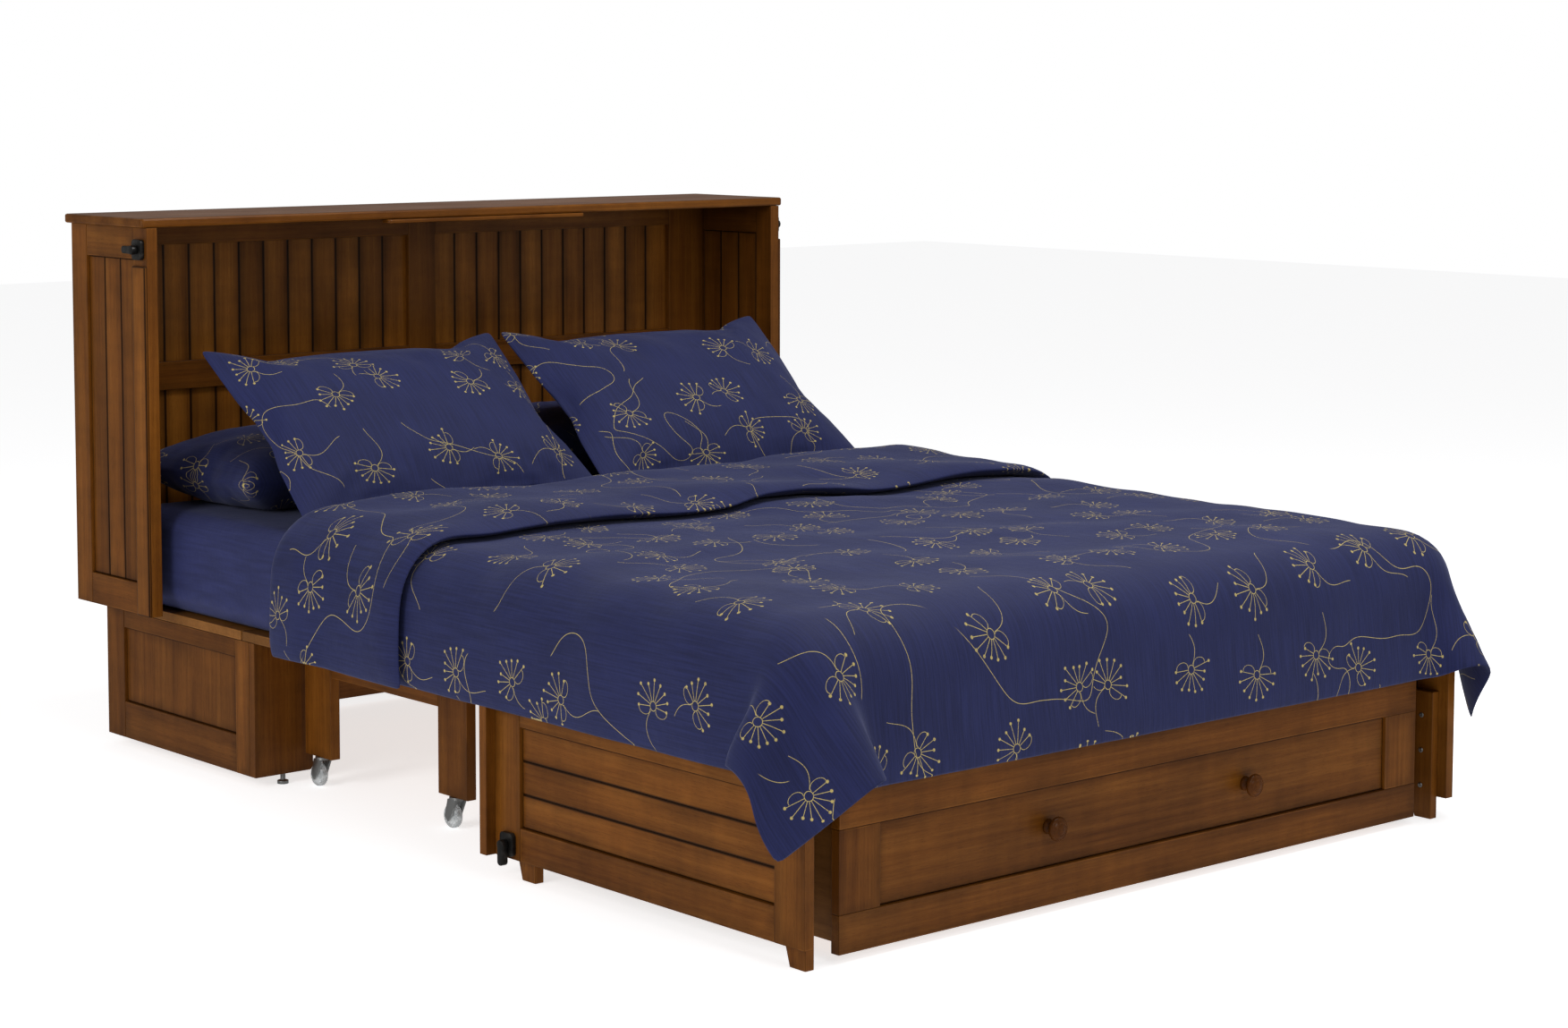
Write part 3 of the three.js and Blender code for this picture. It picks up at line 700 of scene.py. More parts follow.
# %% Hardware
def refine(node, material, body, ease):
    """The CAD outline with welded points, eased edges and smooth shading on its round faces."""
    mesh = bpy.data.meshes.new(node + "_made")
    shape = bmesh.new()
    shape.from_mesh(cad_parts[node].data)
    bmesh.ops.remove_doubles(shape, verts=shape.verts, dist=1e-6)
    bmesh.ops.dissolve_limit(shape, angle_limit=0.02, verts=shape.verts, edges=shape.edges)
    sharp = [e for e in shape.edges if len(e.link_faces) == 2 and e.calc_face_angle(0) > 0.7]
    bmesh.ops.bevel(shape, geom=sharp, offset=ease, segments=2, profile=0.6, affect="EDGES",
                    clamp_overlap=True)
    for face in shape.faces:
        face.smooth = True
    for edge in shape.edges:
        edge.smooth = edge.calc_face_angle(0) < 0.7
    shape.to_mesh(mesh)
    shape.free()
    return show(node + "_made", mesh, material, [node], body)


for label, side in SIDES:
    for latch in ("cabinet_latch", "front_latch"):
        refine(f"{latch}_plate_{label}", latch_black, "bed", 0.0012)
        refine(f"{latch}_lever_{label}", latch_black, f"{latch}_{label}", 0.0015)
    for end in ("front", "back"):
        refine(f"levelling_foot_{end}_{label}", zinc, "bed", 0.0006)
        refine(f"caster_fork_{end}_{label}", zinc, f"caster_{end}_{label}", 0.0006)
        refine(f"caster_wheel_{end}_{label}", clear_plastic, f"wheel_{end}_{label}",
               0.0008)
print("hardware done")

# %% [markdown]
# ## Screw heads
# Screws hold the front legs to the base's sides. Their domed heads show on the inner face
# of each leg, beside the drawer. A head is turned like a knob, with a small round recess in
# the middle, because a driver's cut is too small to see at this size.

# %% Screw heads
SCREW_RADIUS, SCREW_RISE = 0.0048, 0.0022
SCREW_HEIGHTS = (0.060, 0.125, 0.190)
# Each pair is a share of the radius and a share of the rise: the recess, then the dome.
SCREW_PROFILE = ((0.0, 0.55), (0.10, 0.55), (0.22, 0.60), (0.26, 0.98), (0.45, 1.0), (0.75, 0.78),
                 (0.95, 0.38), (1.0, 0.0), (0.0, 0.0))


def join(name, made):
    """Several pieces on one body, joined in the first."""
    with bpy.context.temp_override(active_object=made[0], selected_editable_objects=made):
        bpy.ops.object.join()
    made[0].name = name


rings = [(r * SCREW_RADIUS, d * SCREW_RISE) for r, d in SCREW_PROFILE]
for label, side in SIDES:
    leg_low, leg_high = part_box(f"front_base_leg_front_{label}")
    face = leg_low.x if side > 0 else leg_high.x
    heads = []
    for number, height in enumerate(SCREW_HEIGHTS):
        at = Vector((face, (leg_low.y + leg_high.y) / 2, height))
        heads.append(turned(f"screw_{label}_{number}", rings, at, (-side, 0, 0), 20, zinc,
                            [], "bed"))
    join(f"leg_screws_{label}", heads)
print("screw heads", 2 * len(SCREW_HEIGHTS))

# %% [markdown]
# ## The gold print
# The bedding is navy cotton with a gold print of seed heads: thin rays with a dot at each
# end, a small ring, and a curved stem. An image would stretch and repeat, so
# the print is drawn from distances. The cloth is shared out between scattered cells, one
# seed head to a cell, and each is turned by chance. `cloth` is where a point was on the
# flat cloth, in metres, so the print bends with every fold.


# %% Seed heads
RAYS, RAY_REACH, LINE, DOT = 15, 0.047, 0.0010, 0.0025
CELLS_PER_METRE, SCATTER = 6.4, 0.72
SHORTEST_RAY = 0.68                   # of the longest one
FAN_HALF = 1.80                       # radians: the rays open to just over a half turn
RING, CORE = 0.0075, 0.008            # the small ring, and how far out the rays begin
STEM_LENGTH, STEM_SWAY, STEM_WAVE = 0.105, 0.016, 46.0
CURL_ASIDE, CURL_BACK, CURL_RADIUS, CURL_SQUASH = 0.021, 0.010, 0.014, 1.5
WANDER, HOP = 3.4, 0.002     # how tightly the loose stems curve, and the step that finds their slope


def near(g, distance, width):
    """1 where a distance is under width, with a soft rim."""
    return g.step(distance, 0.7 * width, 1.3 * width, 1.0, 0.0)


def length_of(g, x, y):
    return g.math("SQRT", g.math("ADD", g.math("POWER", x, 2.0), g.math("POWER", y, 2.0)))


def gap(g, a, b):
    return g.math("ABSOLUTE", g.math("SUBTRACT", a, b))


def rays_and_dots(g, x, y, radius, chance_of_head):
    """Thin rays of chance lengths in a fan, each with a dot at its end."""
    turn = g.math("ARCTAN2", x, y)
    pitch = 2 * math.pi / RAYS
    index = g.math("ROUND", g.math("DIVIDE", turn, pitch))
    off = g.math("SUBTRACT", turn, g.math("MULTIPLY", index, pitch))
    aside = g.math("ABSOLUTE", g.math("MULTIPLY", radius, g.math("SINE", off)))
    lengths = g.add("TexWhiteNoise", {"W": g.math("ADD", index, g.math("MULTIPLY", chance_of_head, 60.0))},
                    noise_dimensions="1D").outputs["Value"]
    share = g.math("ADD", SHORTEST_RAY, g.math("MULTIPLY", lengths, 1.0 - SHORTEST_RAY))
    reach = g.math("MULTIPLY", share, RAY_REACH)
    in_fan = g.step(g.math("ABSOLUTE", turn), FAN_HALF - 0.05, FAN_HALF, 1.0, 0.0)
    rays = product(g, near(g, aside, LINE * 0.5), g.math("GREATER_THAN", radius, CORE),
                   g.math("LESS_THAN", radius, reach), in_fan)
    end = length_of(g, aside, g.math("SUBTRACT", radius, reach))
    return rays, g.math("MULTIPLY", near(g, end, DOT), in_fan)


def stem_and_curls(g, x, y):
    """A swaying stem below the head, and a curl on each side of it."""
    sway = g.math("MULTIPLY", g.math("SINE", g.math("MULTIPLY", y, STEM_WAVE)), STEM_SWAY)
    stem = product(g, near(g, gap(g, x, sway), LINE * 0.5), g.math("LESS_THAN", y, -CORE),
                   g.math("GREATER_THAN", y, -STEM_LENGTH))
    curl_x = g.math("SUBTRACT", g.math("ABSOLUTE", x), CURL_ASIDE)
    curl_y = g.math("ADD", g.math("MULTIPLY", y, CURL_SQUASH), CURL_BACK)
    curl = near(g, gap(g, length_of(g, curl_x, curl_y), CURL_RADIUS), LINE * 0.55)
    return stem, g.math("MULTIPLY", curl, g.math("LESS_THAN", y, -0.005))


def loose_stems(g, flat):
    """Long lines where a slow noise is at its middle, made one width by dividing by its slope."""
    drift, right, ahead = [g.noise(g.vector("ADD", flat, (*hop, 0.0)), WANDER, 1.0, 0.4, "2D")
                           for hop in ((0.0, 0.0), (HOP, 0.0), (0.0, HOP))]
    change = [g.math("SUBTRACT", moved, drift) for moved in (right, ahead)]
    steep = g.math("DIVIDE", length_of(g, *change), HOP)
    away = g.math("DIVIDE", gap(g, drift, 0.5), g.math("ADD", steep, 1e-4))
    shown = g.step(g.noise(g.vector("ADD", flat, (3.1, 1.7, 0.0)), 2.9, 0.0, 0.5, "2D"), 0.47, 0.48)
    return g.math("MULTIPLY", near(g, away, LINE * 0.5), shown)


def seed_heads(g, flat):
    cells = g.add("TexVoronoi", {"Vector": flat, "Scale": CELLS_PER_METRE, "Randomness": SCATTER},
                  voronoi_dimensions="2D", feature="F1")
    local = g.vector("SUBTRACT", flat, cells.outputs["Position"])
    chances = g.add("SeparateColor", {0: cells.outputs["Color"]}).outputs
    turned_by = g.math("MULTIPLY", chances[0], 2 * math.pi)
    spun = g.add("VectorRotate", {"Vector": local, "Angle": turned_by}, rotation_type="Z_AXIS").outputs[0]
    x, y = g.add("SeparateXYZ", {0: spun}).outputs[:2]
    radius = g.add("VectorMath", {0: spun}, operation="LENGTH").outputs["Value"]
    ring = near(g, gap(g, radius, RING), LINE * 0.55)
    strokes = loose_stems(g, flat)
    for stroke in (*rays_and_dots(g, x, y, radius, chances[1]), ring, *stem_and_curls(g, x, y)):
        strokes = g.math("MAXIMUM", strokes, stroke)
    return strokes


print("seed heads of", RAYS, "rays")

# %% [markdown]
# ## Woven cloth
# The cloth's own look is its weave, two directions of fine thread with thicker slubs, and
# soft creases wider than a finger. The mattress sheet is a little lighter, with no print.


# %% Printed cloth
GOLD = (0.42, 0.33, 0.11, 1)
THREAD, ALONG_THREAD = 1500.0, 260.0  # how often a thread varies in a metre


def bed_cloth(name, dark, light, printed):
    g = Graph(name)
    flat = g.attribute("cloth").outputs["Vector"]
    where = g.add("TexCoord").outputs["Object"]
    warp, weft = [g.noise(g.vector("MULTIPLY", flat, (*scale, 1.0)), 1.0, 1.0, 0.5, "2D")
                  for scale in ((THREAD, ALONG_THREAD), (ALONG_THREAD, THREAD))]
    weave = g.math("MULTIPLY", g.math("ADD", warp, weft), 0.5)
    slub = g.noise(g.vector("MULTIPLY", flat, (330.0, 9.0, 1.0)), 1.0, 2.0, 0.5, "2D")
    threads = g.math("ADD", weave, slub)
    patch = g.noise(where, 7.0, 3.0, 0.5)
    share = g.math("ADD", g.math("MULTIPLY", threads, 0.4), g.math("MULTIPLY", patch, 0.2))
    colour = g.mix(g.step(share, 0.35, 0.65), (*dark, 1), (*light, 1))
    if printed:
        broken = g.step(g.noise(flat, 420.0, 2.0, 0.6, "2D"), 0.30, 0.45, 0.45, 1.0)
        colour = g.mix(g.math("MULTIPLY", seed_heads(g, flat), broken), colour, GOLD)
    crease = g.noise(where, 13.0, 4.0, 0.55)
    g.bump(g.math("ADD", g.math("MULTIPLY", threads, 0.05), g.math("MULTIPLY", crease, 0.9)), 0.55, 0.005)
    return g.finish(colour, Roughness=g.step(weave, 0.3, 0.7, 0.72, 0.86), Sheen_Weight=0.12,
                    Sheen_Roughness=0.45, Sheen_Tint=(0.62, 0.66, 0.92, 1), Specular_IOR_Level=0.28)


NAVY_DARK, NAVY_LIGHT = (0.0060, 0.0085, 0.046), (0.0115, 0.0160, 0.078)
printed_cloth = bed_cloth("printed_cloth", NAVY_DARK, NAVY_LIGHT, True)
plain_cloth = bed_cloth("plain_cloth", (0.0115, 0.0150, 0.066), (0.0190, 0.0240, 0.100), False)
print("cloths", printed_cloth.name, plain_cloth.name)

# %% [markdown]
# ## Small helpers for soft shapes
# Soft pieces are made of grids of points, which numpy moves all at once. Ripples are a
# sum of a few sine waves in chance directions. They are smooth, and the same every run.


# %% Soft helpers
def ripples(flat, wave, count, seed):
    """A gentle height field over flat points, about -1 to 1, with that wavelength in metres."""
    draw = np.random.default_rng(seed)
    total = np.zeros(flat.shape[:-1])
    for _ in range(count):
        turn, phase = draw.uniform(0, 2 * math.pi, 2)
        length = wave * draw.uniform(0.7, 1.6)
        total += np.sin((flat[..., 0] * math.cos(turn) + flat[..., 1] * math.sin(turn))
                        * 2 * math.pi / length + phase)
    return total / math.sqrt(count)


def ease(value, start, end):
    t = np.clip((value - start) / (end - start), 0, 1)
    return t * t * (3 - 2 * t)


def grid_faces(rows, columns, start=0):
    return [(start + r * columns + c, start + (r + 1) * columns + c,
             start + (r + 1) * columns + c + 1, start + r * columns + c + 1)
            for r in range(rows - 1) for c in range(columns - 1)]


def closed_grid(name, top, bottom, flat):
    """A closed body from two grids of points that meet along their rims, and its flat cloth places."""
    rows, columns = top.shape[:2]
    count = rows * columns
    faces = grid_faces(rows, columns)
    faces += [tuple(reversed(f)) for f in grid_faces(rows, columns, count)]
    rim = [r * columns for r in range(rows)] + [(rows - 1) * columns + c for c in range(1, columns)]
    rim += [r * columns + columns - 1 for r in range(rows - 2, -1, -1)]
    rim += list(range(columns - 2, 0, -1))
    for a, b in zip(rim, rim[1:] + rim[:1]):
        faces.append((a, a + count, b + count, b))
    mesh = bpy.data.meshes.new(name)
    points = np.concatenate([top.reshape(-1, 3), bottom.reshape(-1, 3)])
    mesh.from_pydata([tuple(p) for p in points], [], faces)
    write_cloth(mesh, np.concatenate([flat.reshape(-1, 2)] * 2))
    shape = bmesh.new()
    shape.from_mesh(mesh)
    bmesh.ops.recalc_face_normals(shape, faces=shape.faces)
    shape.to_mesh(mesh)
    shape.free()
    for face in mesh.polygons:
        face.use_smooth = True
    return mesh


def write_cloth(mesh, flat):
    values = np.zeros((len(flat), 3), np.float32)
    values[:, :2] = flat
    mesh.attributes.new("cloth", "FLOAT_VECTOR", "POINT").data.foreach_set("vector", values.ravel())


def soften(piece, levels=1):
    modifier = piece.modifiers.new("soften", "SUBSURF")
    modifier.levels = modifier.render_levels = levels


print("soft helpers ready")

# %% [markdown]
# ## Mattress in its fitted sheet
# A foam mattress is a slab with rounded edges, and its fitted sheet is pulled tight over
# them. The slab is a box of quads whose outer points are pushed onto a rounded shape. The
# sides then bulge a little, and shallow tension folds run down them.


# %% Rounded slab
def edge_lines(low, high, radius, gap):
    inner = np.linspace(low + radius, high - radius, max(2, round((high - low - 2 * radius) / gap)))
    rim = np.array([0.0, 0.25, 0.5, 0.75]) * radius
    return np.concatenate([low + rim, inner, high - rim[::-1]])


def rounded_slab(low, high, radius, gap):
    """Points and quads of a box with rounded edges and corners."""
    lines = [edge_lines(l, h, radius, gap) for l, h in zip(low, high)]
    shape = bmesh.new()
    for axis in range(3):
        a, b = [i for i in range(3) if i != axis]
        for at in (low[axis], high[axis]):
            corners = []
            for s in lines[a]:
                for t in lines[b]:
                    p = [0.0, 0.0, 0.0]
                    p[axis], p[a], p[b] = at, s, t
                    corners.append(shape.verts.new(p))
            for face in grid_faces(len(lines[a]), len(lines[b])):
                shape.faces.new([corners[i] for i in face])
    bmesh.ops.remove_doubles(shape, verts=shape.verts, dist=1e-5)
    bmesh.ops.recalc_face_normals(shape, faces=shape.faces)
    shape.verts.index_update()
    points = np.array([v.co for v in shape.verts])
    faces = [tuple(v.index for v in f.verts) for f in shape.faces]
    shape.free()
    core = np.clip(points, np.array(low) + radius, np.array(high) - radius)
    away = points - core
    length = np.linalg.norm(away, axis=1, keepdims=True)
    return core + away / np.maximum(length, 1e-9) * radius, faces


print("slab helper ready")

# %% [markdown]
# The mattress takes its size from the CAD, less the few millimetres that its sides bulge.
# The bulge grows only near the side faces, so the top stays flat for the duvet to lie on.

# %% Mattress in its sheet
MATTRESS_EDGE, SHEET_PULL, MATTRESS_GRID = 0.045, 0.004, 0.030
BULGE, TENSION_FOLD = 0.0022, 0.0010
UNDERSIDE = 0.02             # points lower than this lie flat on the deck
low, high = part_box("mattress")
points, faces = rounded_slab([c + SHEET_PULL for c in low], [c - SHEET_PULL for c in high],
                             MATTRESS_EDGE, MATTRESS_GRID)
points[:, 2] -= np.where(points[:, 2] < low.z + UNDERSIDE, SHEET_PULL - 0.0003, 0)
rise = (points[:, 2] - low.z) / (high.z - low.z)
middle_y, half_y = (low.y + high.y) / 2, (high.y - low.y) / 2
out = np.stack([points[:, 0] / high.x, (points[:, 1] - middle_y) / half_y], 1)
on_the_sides = np.abs(out) ** 24
fold = ripples(np.stack([points[:, 0] + points[:, 1], 0.25 * points[:, 2]], 1), 0.16, 5, 3)
height = np.clip(rise, 0, 1)
bulge = BULGE * np.sin(math.pi * height) + TENSION_FOLD * fold * (1 - height) * (rise > 0.03)
points[:, :2] += np.sign(out) * on_the_sides * bulge[:, None]
mesh = bpy.data.meshes.new("mattress_in_sheet")
mesh.from_pydata([tuple(p) for p in points], [], faces)
write_cloth(mesh, points[:, :2] + points[:, 2:] * (0.3, 0.7))
for face in mesh.polygons:
    face.use_smooth = True
mattress = show("mattress_in_sheet", mesh, plain_cloth, ["mattress"])
soften(mattress)
print("mattress", [round(1000 * (h - l)) for l, h in zip(low, high)], "mm")

# %% [markdown]
# ## Cloth by simulation
# How a duvet falls over the edge of a bed is hard to draw and easy to simulate. The
# sheet starts flat on the mattress. Its middle is held, its borders drop under their own
# weight, and the corners find their own folds. The result is read back as points, and
# the simulated object is thrown away.


# %% Simulation helper
def simulate(points, faces, frames, mass, bending, air, gravity=1.0, pressure=0.0, held=None,
             colliders=(), self_gap=0.0):
    """Where the points of a cloth come to rest. It keeps `self_gap` from itself, or 0 for no care."""
    mesh = bpy.data.meshes.new("simulated")
    mesh.from_pydata([tuple(p) for p in points], [], faces)
    cloth = bpy.data.objects.new("simulated", mesh)
    bpy.context.scene.collection.objects.link(cloth)
    modifier = cloth.modifiers.new("cloth", "CLOTH")
    rules = modifier.settings
    rules.quality, rules.mass, rules.air_damping = 7, mass, air
    rules.bending_stiffness, rules.bending_damping = bending, 2.0
    rules.tension_stiffness = rules.compression_stiffness = 25
    rules.effector_weights.gravity = gravity
    if pressure:
        rules.use_pressure, rules.uniform_pressure_force = True, pressure
    if held is not None:
        group = cloth.vertex_groups.new(name="held")
        group.add([int(i) for i in held], 1.0, "REPLACE")
        rules.vertex_group_mass = "held"
    modifier.collision_settings.use_collision = bool(colliders)
    modifier.collision_settings.distance_min = 0.004
    modifier.collision_settings.use_self_collision = self_gap > 0
    modifier.collision_settings.self_distance_min = max(self_gap, 0.001)
    for collider in colliders:
        collider.collision.thickness_outer = 0.003
    modifier.point_cache.frame_start, modifier.point_cache.frame_end = 1, frames
    for moment in range(1, frames + 1):
        bpy.context.scene.frame_set(moment)
    seen = cloth.evaluated_get(bpy.context.evaluated_depsgraph_get())
    result = np.array([v.co for v in seen.data.vertices])
    for thing in (cloth, *colliders):
        bpy.data.objects.remove(thing)
    bpy.context.scene.frame_set(1)
    return result


def collision_form(name, points, faces):
    mesh = bpy.data.meshes.new(name)
    mesh.from_pydata([tuple(p) for p in points], [], faces)
    form = bpy.data.objects.new(name, mesh)
    bpy.context.scene.collection.objects.link(form)
    form.modifiers.new("collision", "COLLISION")
    return form


print("simulation", "runs")

# %% [markdown]
# ## Duvet
# The duvet lies over the foot two thirds of the bed. Its borders hang to just below the
# deck, and its head end is turned back over itself. First comes its underside, as a flat
# sheet. It is cut to reach from hem to hem over a rounded edge, so its size is worked out.

# %% Duvet sizes
STAND_OFF, FRONT_STAND_OFF = 0.036, 0.028    # from the mattress to the hanging cloth
DUVET_EDGE = 0.075                           # radius of the bend over the mattress edge
SIDE_HEM, FRONT_HEM = 0.290, 0.268           # heights above the floor
SHEET_STEP = 0.0235                          # between two points of the sheet
mattress_low, mattress_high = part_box("mattress")
sheet_top = mattress_high.z + 0.002
fold_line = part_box("duvet")[1].y
quarter = math.pi / 2 * DUVET_EDGE
form_x, form_y = mattress_high.x + STAND_OFF, mattress_low.y - FRONT_STAND_OFF
half_width = form_x - DUVET_EDGE + quarter + (sheet_top - DUVET_EDGE - SIDE_HEM)
front_reach = form_y + DUVET_EDGE - quarter - (sheet_top - DUVET_EDGE - FRONT_HEM)

us = np.linspace(-half_width, half_width, round(2 * half_width / SHEET_STEP) + 1)
vs = np.linspace(front_reach, fold_line, round((fold_line - front_reach) / SHEET_STEP) + 1)
flat_grid = np.stack(np.meshgrid(us, vs, indexing="ij"), axis=-1)
print("sheet", round(2 * half_width, 3), "m wide,", round(fold_line - front_reach, 3), "m to the fold")

# %% [markdown]
# ## Its fall
# The sheet falls over two plain forms, one for the mattress and one for the front base.


# %% How the duvet falls
HELD_MARGIN = 0.12           # the sheet is held this far in from the form's edges
FORM_FOOT = 0.25             # the mattress form reaches down to here
BASE_CLEAR, BASE_FRONT, BASE_BACK = 0.006, 0.022, -0.27


def drape_by_simulation(flat):
    slab_form = rounded_slab((-form_x, form_y, FORM_FOOT), (form_x, mattress_high.y, sheet_top - 0.006),
                             DUVET_EDGE, 0.06)
    rail_low, rail_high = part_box("front_base_rail")
    base_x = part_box("front_base_side_right")[1].x + BASE_CLEAR
    base_form = eased_box((-base_x, rail_low.y - BASE_FRONT, 0.0),
                          (base_x, BASE_BACK, rail_high.z - 0.004), BASE_CLEAR)
    forms = collision_form("slab_form", *slab_form), collision_form("base_form", *base_form)
    start = np.concatenate([flat, np.full(flat.shape[:2] + (1,), sheet_top + 0.002)], axis=-1)
    kept = (np.abs(flat[..., 0]) < form_x - HELD_MARGIN) & (flat[..., 1] > form_y + HELD_MARGIN)
    settled = simulate(start.reshape(-1, 3), grid_faces(len(us), len(vs)), 60, mass=0.35, bending=6.0,
                       air=3.0, held=np.flatnonzero(kept), colliders=forms, self_gap=0.008)
    return settled.reshape(len(us), len(vs), 3)


under = drape_by_simulation(flat_grid)
print("duvet underside", under.reshape(-1, 3).min(0).round(3), under.reshape(-1, 3).max(0).round(3))

# %% [markdown]
# ## Filling
# The filling gives the duvet its thickness, the loft: full on top, thinner down the sides
# and at the corners. Quilting and use leave it uneven, so ripples vary it a little.


# %% Loft of the duvet
LOFT = 0.028
EDGE_THINNER, CORNER_THINNER, UNEVEN = 0.36, 0.34, 0.10
WIDE_PUFF, SMALL_PUFF = 0.0042, 0.0016
FLARE_FROM, FLARE_ROOM = 0.835, 0.045    # past the first width, the sides are held in to the second


def smooth_grid(points, rounds):
    for _ in range(rounds):
        inner = (points[:-2, 1:-1] + points[2:, 1:-1] + points[1:-1, :-2] + points[1:-1, 2:]) / 4
        points[1:-1, 1:-1] = 0.5 * points[1:-1, 1:-1] + 0.5 * inner
    return points


def unit(vectors):
    return vectors / np.maximum(np.linalg.norm(vectors, axis=-1, keepdims=True), 1e-9)


under = smooth_grid(under, 3)
flare = np.maximum(np.abs(under[..., 0]) - FLARE_FROM, 0)
under[..., 0] -= np.sign(under[..., 0]) * (flare - FLARE_ROOM * np.tanh(flare / FLARE_ROOM))
across, along = np.gradient(under, axis=0), np.gradient(under, axis=1)
up = unit(np.cross(across, along))
for _ in range(4):
    up = unit(smooth_grid(up.copy(), 1))
over_side = ease(np.abs(flat_grid[..., 0]), form_x - 0.07, form_x + 0.07)
over_front = ease(-flat_grid[..., 1], -form_y - 0.07, -form_y + 0.07)
over_edge = np.maximum(over_side, over_front)
loft = LOFT * (1 - EDGE_THINNER * over_edge - CORNER_THINNER * over_side * over_front)
loft *= 1 + UNEVEN * ripples(flat_grid, 0.30, 6, 11)
puff = (WIDE_PUFF * ripples(flat_grid * (1.0, 1.6), 0.42, 6, 12)
        + SMALL_PUFF * ripples(flat_grid, 0.12, 8, 13))
raised = np.maximum(puff + 0.002, 0) * (1 - 0.6 * over_edge)
under_lifted = under + up * raised[..., None]
print("loft", loft.min().round(4), "to", loft.max().round(4), "m")

# %% [markdown]
# ## The turned-back end
# The body is two grids of points a thickness apart. They follow one path from the foot hem
# up to the fold, round a soft half turn, and back over the bed to the free edge. Each
# stretch gives the middle of the filling, which way is up, its loft and its flat places.


# %% Path of the duvet
BAND_END = -0.075            # where the turned-back end stops, along the bed
BEND_STEPS = 6
BEND_LENGTH = LOFT * 1.7     # of cloth, round the half turn


def half_turn():
    """The bend at the fold, as one column of points for each step."""
    fold_up, fold_loft, ahead = up[:, -1], loft[:, -1:], unit(along[:, -1])
    bend_centre = under_lifted[:, -1] + fold_up * (fold_loft + 0.001)
    for step in range(1, BEND_STEPS):
        turn = math.pi * step / BEND_STEPS
        spin = -math.cos(turn) * fold_up + 1.5 * math.sin(turn) * ahead
        yield ((bend_centre + (fold_loft / 2 + 0.001) * spin)[:, None],
               unit(math.cos(turn) * fold_up - math.sin(turn) * ahead)[:, None],
               fold_loft,
               (flat_grid[:, -1] + (0, BEND_LENGTH * step / BEND_STEPS))[:, None])


def turned_back():
    """The end that lies on the bed again, upside down, with its cloth running on past the fold."""
    band = np.flatnonzero(vs > BAND_END)[::-1]
    lift = 1.5 * loft[:, band] + 0.002
    mirrored = flat_grid[:, band].copy()
    mirrored[..., 1] = 2 * fold_line + BEND_LENGTH - mirrored[..., 1]
    return under_lifted[:, band] + up[:, band] * lift[..., None], -up[:, band], loft[:, band], mirrored


stretches = [(under_lifted + up * loft[..., None] / 2, up, loft, flat_grid), *half_turn(), turned_back()]
centres, normals, lofts, places = [np.concatenate(parts, axis=1) for parts in zip(*stretches)]
print("duvet path", centres.shape[1], "steps from hem to free edge")

# %% [markdown]
# ## The duvet's body
# The two faces meet in a hem. They close on each other over the last hand's breadth, as
# the two cloths of a cover do where they are sewn.

# %% Duvet body
HEM_REACH, HEM_THIN = 0.075, 0.16
steps = np.arange(centres.shape[1])
rows = np.arange(len(us))
to_hem = np.minimum(steps, steps[::-1])[None, :] * SHEET_STEP
to_side = np.minimum(rows, rows[::-1])[:, None] * SHEET_STEP
hem = np.clip(np.minimum(to_hem, to_side) / HEM_REACH, 0, 1)
taper = HEM_THIN + (1 - HEM_THIN) * np.sqrt(1 - (1 - hem) ** 2)
half_loft = (lofts * taper / 2)[..., None]
mesh = closed_grid("duvet_body", centres + normals * half_loft, centres - normals * half_loft, places)
duvet = show("duvet_body", mesh, printed_cloth, ["duvet"])
soften(duvet)
print("duvet body", len(mesh.vertices), "points")

# %% [markdown]
# ## Pillows
# A pillow is two squares of cloth sewn round their rims and blown up by their filling.
# That is how it is made here: two flat grids share a rim, pressure swells them, and the
# rim draws in between the corners. One pillow is simulated, then set to each size.

# %% One pillow
PILLOW_ROWS, PILLOW_COLUMNS = 41, 29
STRAIGHTEN = 0.5             # a filled case keeps its rims straighter than a bare balloon does
START_RISE = 0.018
pillow_u = np.linspace(-1, 1, PILLOW_ROWS)
pillow_v = np.linspace(-1, 1, PILLOW_COLUMNS)
pillow_grid = np.stack(np.meshgrid(pillow_u, pillow_v, indexing="ij"), axis=-1)
pillow_rim = np.zeros((PILLOW_ROWS, PILLOW_COLUMNS), bool)
pillow_rim[[0, -1], :] = True
pillow_rim[:, [0, -1]] = True


def crown(grid, power):
    """1 in the middle of a square from -1 to 1, and 0 on its rim."""
    return np.prod(1 - np.abs(grid) ** power, axis=-1)


def two_faces(flat, height):
    """The same flat points twice, raised and lowered by a height."""
    return np.stack([np.concatenate([flat, (s * height)[..., None]], axis=-1) for s in (1, -1)])


def pillow_by_simulation(width, depth):
    upper, lower = two_faces(pillow_grid * (width / 2, depth / 2), START_RISE * crown(pillow_grid, 4))
    count = PILLOW_ROWS * PILLOW_COLUMNS
    rim = pillow_rim.ravel()
    lower_index = np.where(rim, np.arange(count), np.cumsum(~rim) - 1 + count)
    upper_faces = grid_faces(PILLOW_ROWS, PILLOW_COLUMNS)
    lower_faces = [tuple(int(lower_index[i]) for i in reversed(face)) for face in upper_faces]
    points = np.concatenate([upper.reshape(-1, 3), lower.reshape(-1, 3)[~rim]])
    blown = simulate(points, upper_faces + lower_faces, 26, mass=0.2, bending=0.6, air=6.0,
                     gravity=0.0, pressure=4.0)
    shape = np.stack([blown[:count], blown[lower_index]]).reshape(2, PILLOW_ROWS, PILLOW_COLUMNS, 3)
    shape = shape / np.abs(shape).max(axis=(0, 1, 2))
    shape[..., :2] = (1 - STRAIGHTEN) * shape[..., :2] + STRAIGHTEN * pillow_grid
    return shape


pillow_shape = pillow_by_simulation(0.75, 0.52)
print("pillow shape", pillow_shape.shape, "simulated")

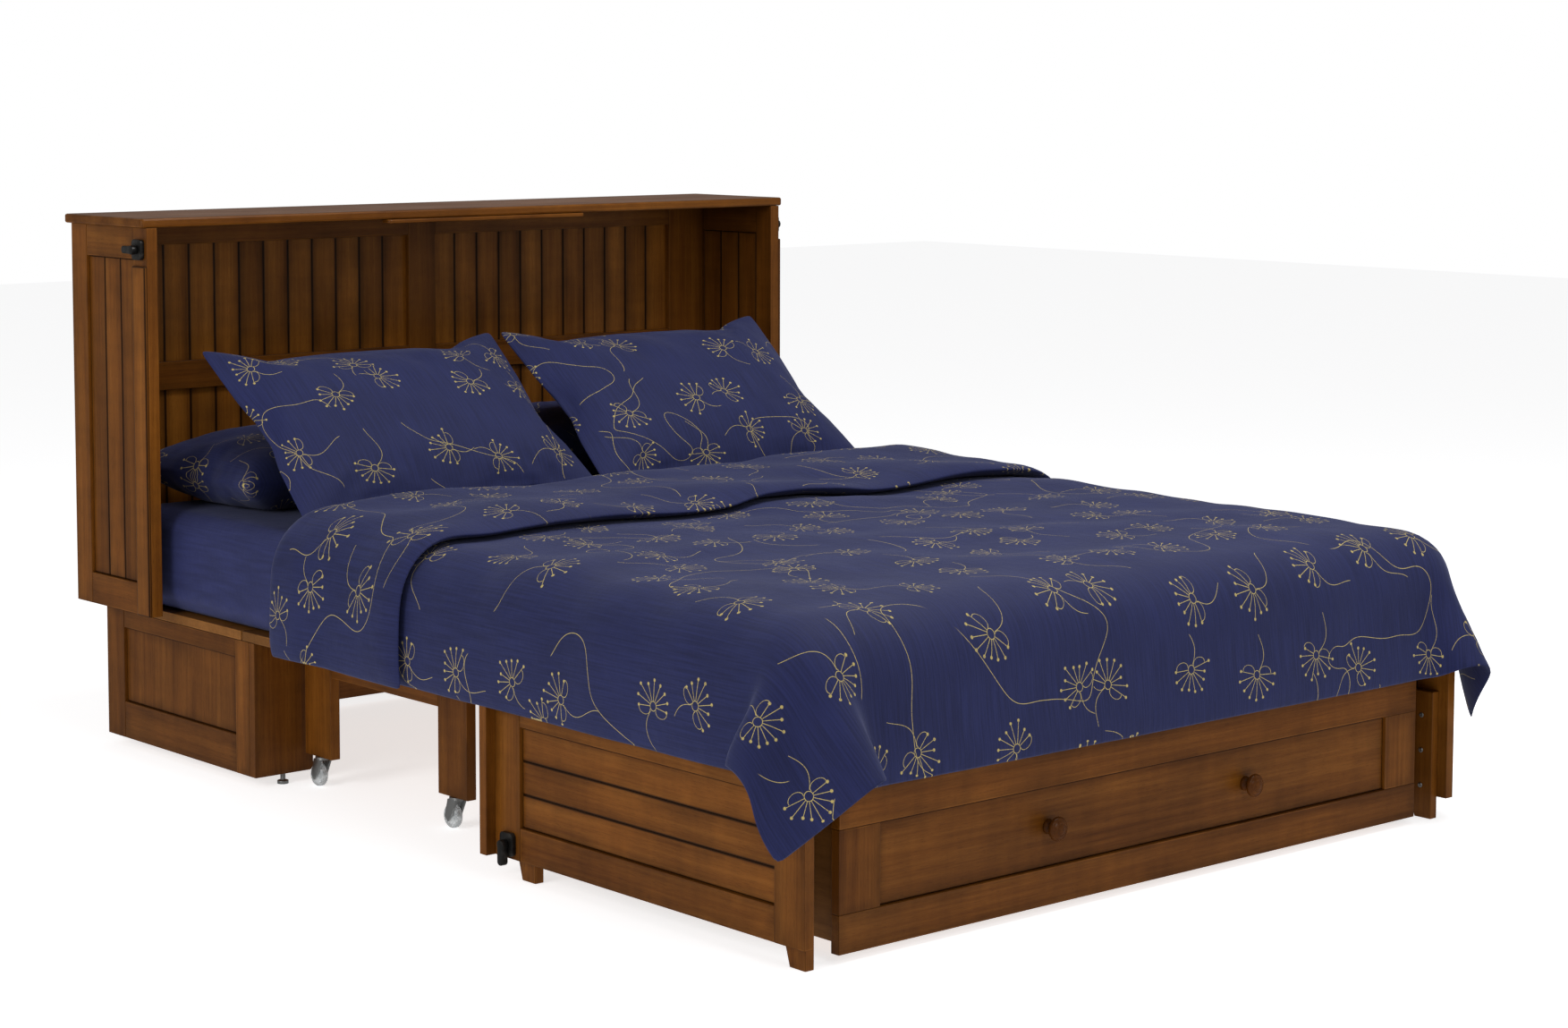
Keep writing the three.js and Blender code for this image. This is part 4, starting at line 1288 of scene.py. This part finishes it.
# %% [markdown]
# ## Four pillows
# Two pillows lie flat behind, and two lean on them. A leaning pillow turns about the
# bed's width. A lying one is pressed flat below, where it rests on the mattress.


# %% Four pillows
LEAN = math.radians(38)
FRONT_DEPTH, FRONT_THICK = 0.486, 0.116
REAR_THICK, REAR_FULLNESS = 0.172, 0.62  # a lower fullness makes a squarer, fuller side
PRESSED = 0.36               # a lying pillow reaches this share of its thickness below its middle
RIM_GAP = 0.0015
SMALL_WRINKLE, WIDE_WRINKLE = 0.0022, 0.0030


def pillow(node, centre, size, seed, lean=0.0, pressed=False, fullness=1.0):
    width, depth, thick = size
    layers = []
    for layer in pillow_shape:
        fuller = np.sign(layer[..., 2]) * np.abs(layer[..., 2]) ** fullness
        points = np.concatenate([layer[..., :2], fuller[..., None]], axis=-1)
        points = points * (width / 2, depth / 2, thick / 2)
        flat = points[..., :2]
        wrinkle = SMALL_WRINKLE * ripples(flat, 0.11, 7, seed)
        wrinkle += WIDE_WRINKLE * ripples(flat, 0.30, 4, seed + 1)
        points[..., 2] += wrinkle * crown(pillow_grid, 6)
        if pressed:
            points[..., 2] = np.maximum(points[..., 2], -PRESSED * thick)
        turned_y = points[..., 1] * math.cos(lean) - points[..., 2] * math.sin(lean)
        turned_z = points[..., 1] * math.sin(lean) + points[..., 2] * math.cos(lean)
        layers.append(np.stack([points[..., 0], turned_y, turned_z], axis=-1) + np.array(centre))
    middle = (layers[0] + layers[1]) / 2
    lift = np.array((0, -math.sin(lean), math.cos(lean))) * RIM_GAP
    layers = [np.where(pillow_rim[..., None], middle + s * lift, layer) for s, layer in zip((1, -1), layers)]
    print_place = pillow_grid * (width / 2, depth / 2) + (seed * 0.37, seed * 0.53)
    mesh = closed_grid(f"{node}_case", *layers, print_place)
    piece = show(f"{node}_case", mesh, printed_cloth, [node])
    soften(piece)
    return piece


pillows = []
for number, (label, side) in enumerate(SIDES):
    node = f"pillow_rear_{label}"
    low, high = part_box(node)
    centre = ((low.x + high.x) / 2, (low.y + high.y) / 2, low.z + PRESSED * REAR_THICK)
    size = (high.x - low.x, high.y - low.y, REAR_THICK)
    pillows.append(pillow(node, centre, size, 21 + number, pressed=True, fullness=REAR_FULLNESS))
    node = f"pillow_front_{label}"
    low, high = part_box(node)
    size = (high.x - low.x, FRONT_DEPTH, FRONT_THICK)
    pillows.append(pillow(node, (low + high) / 2, size, 31 + number, lean=LEAN))
print("pillows", len(pillows))
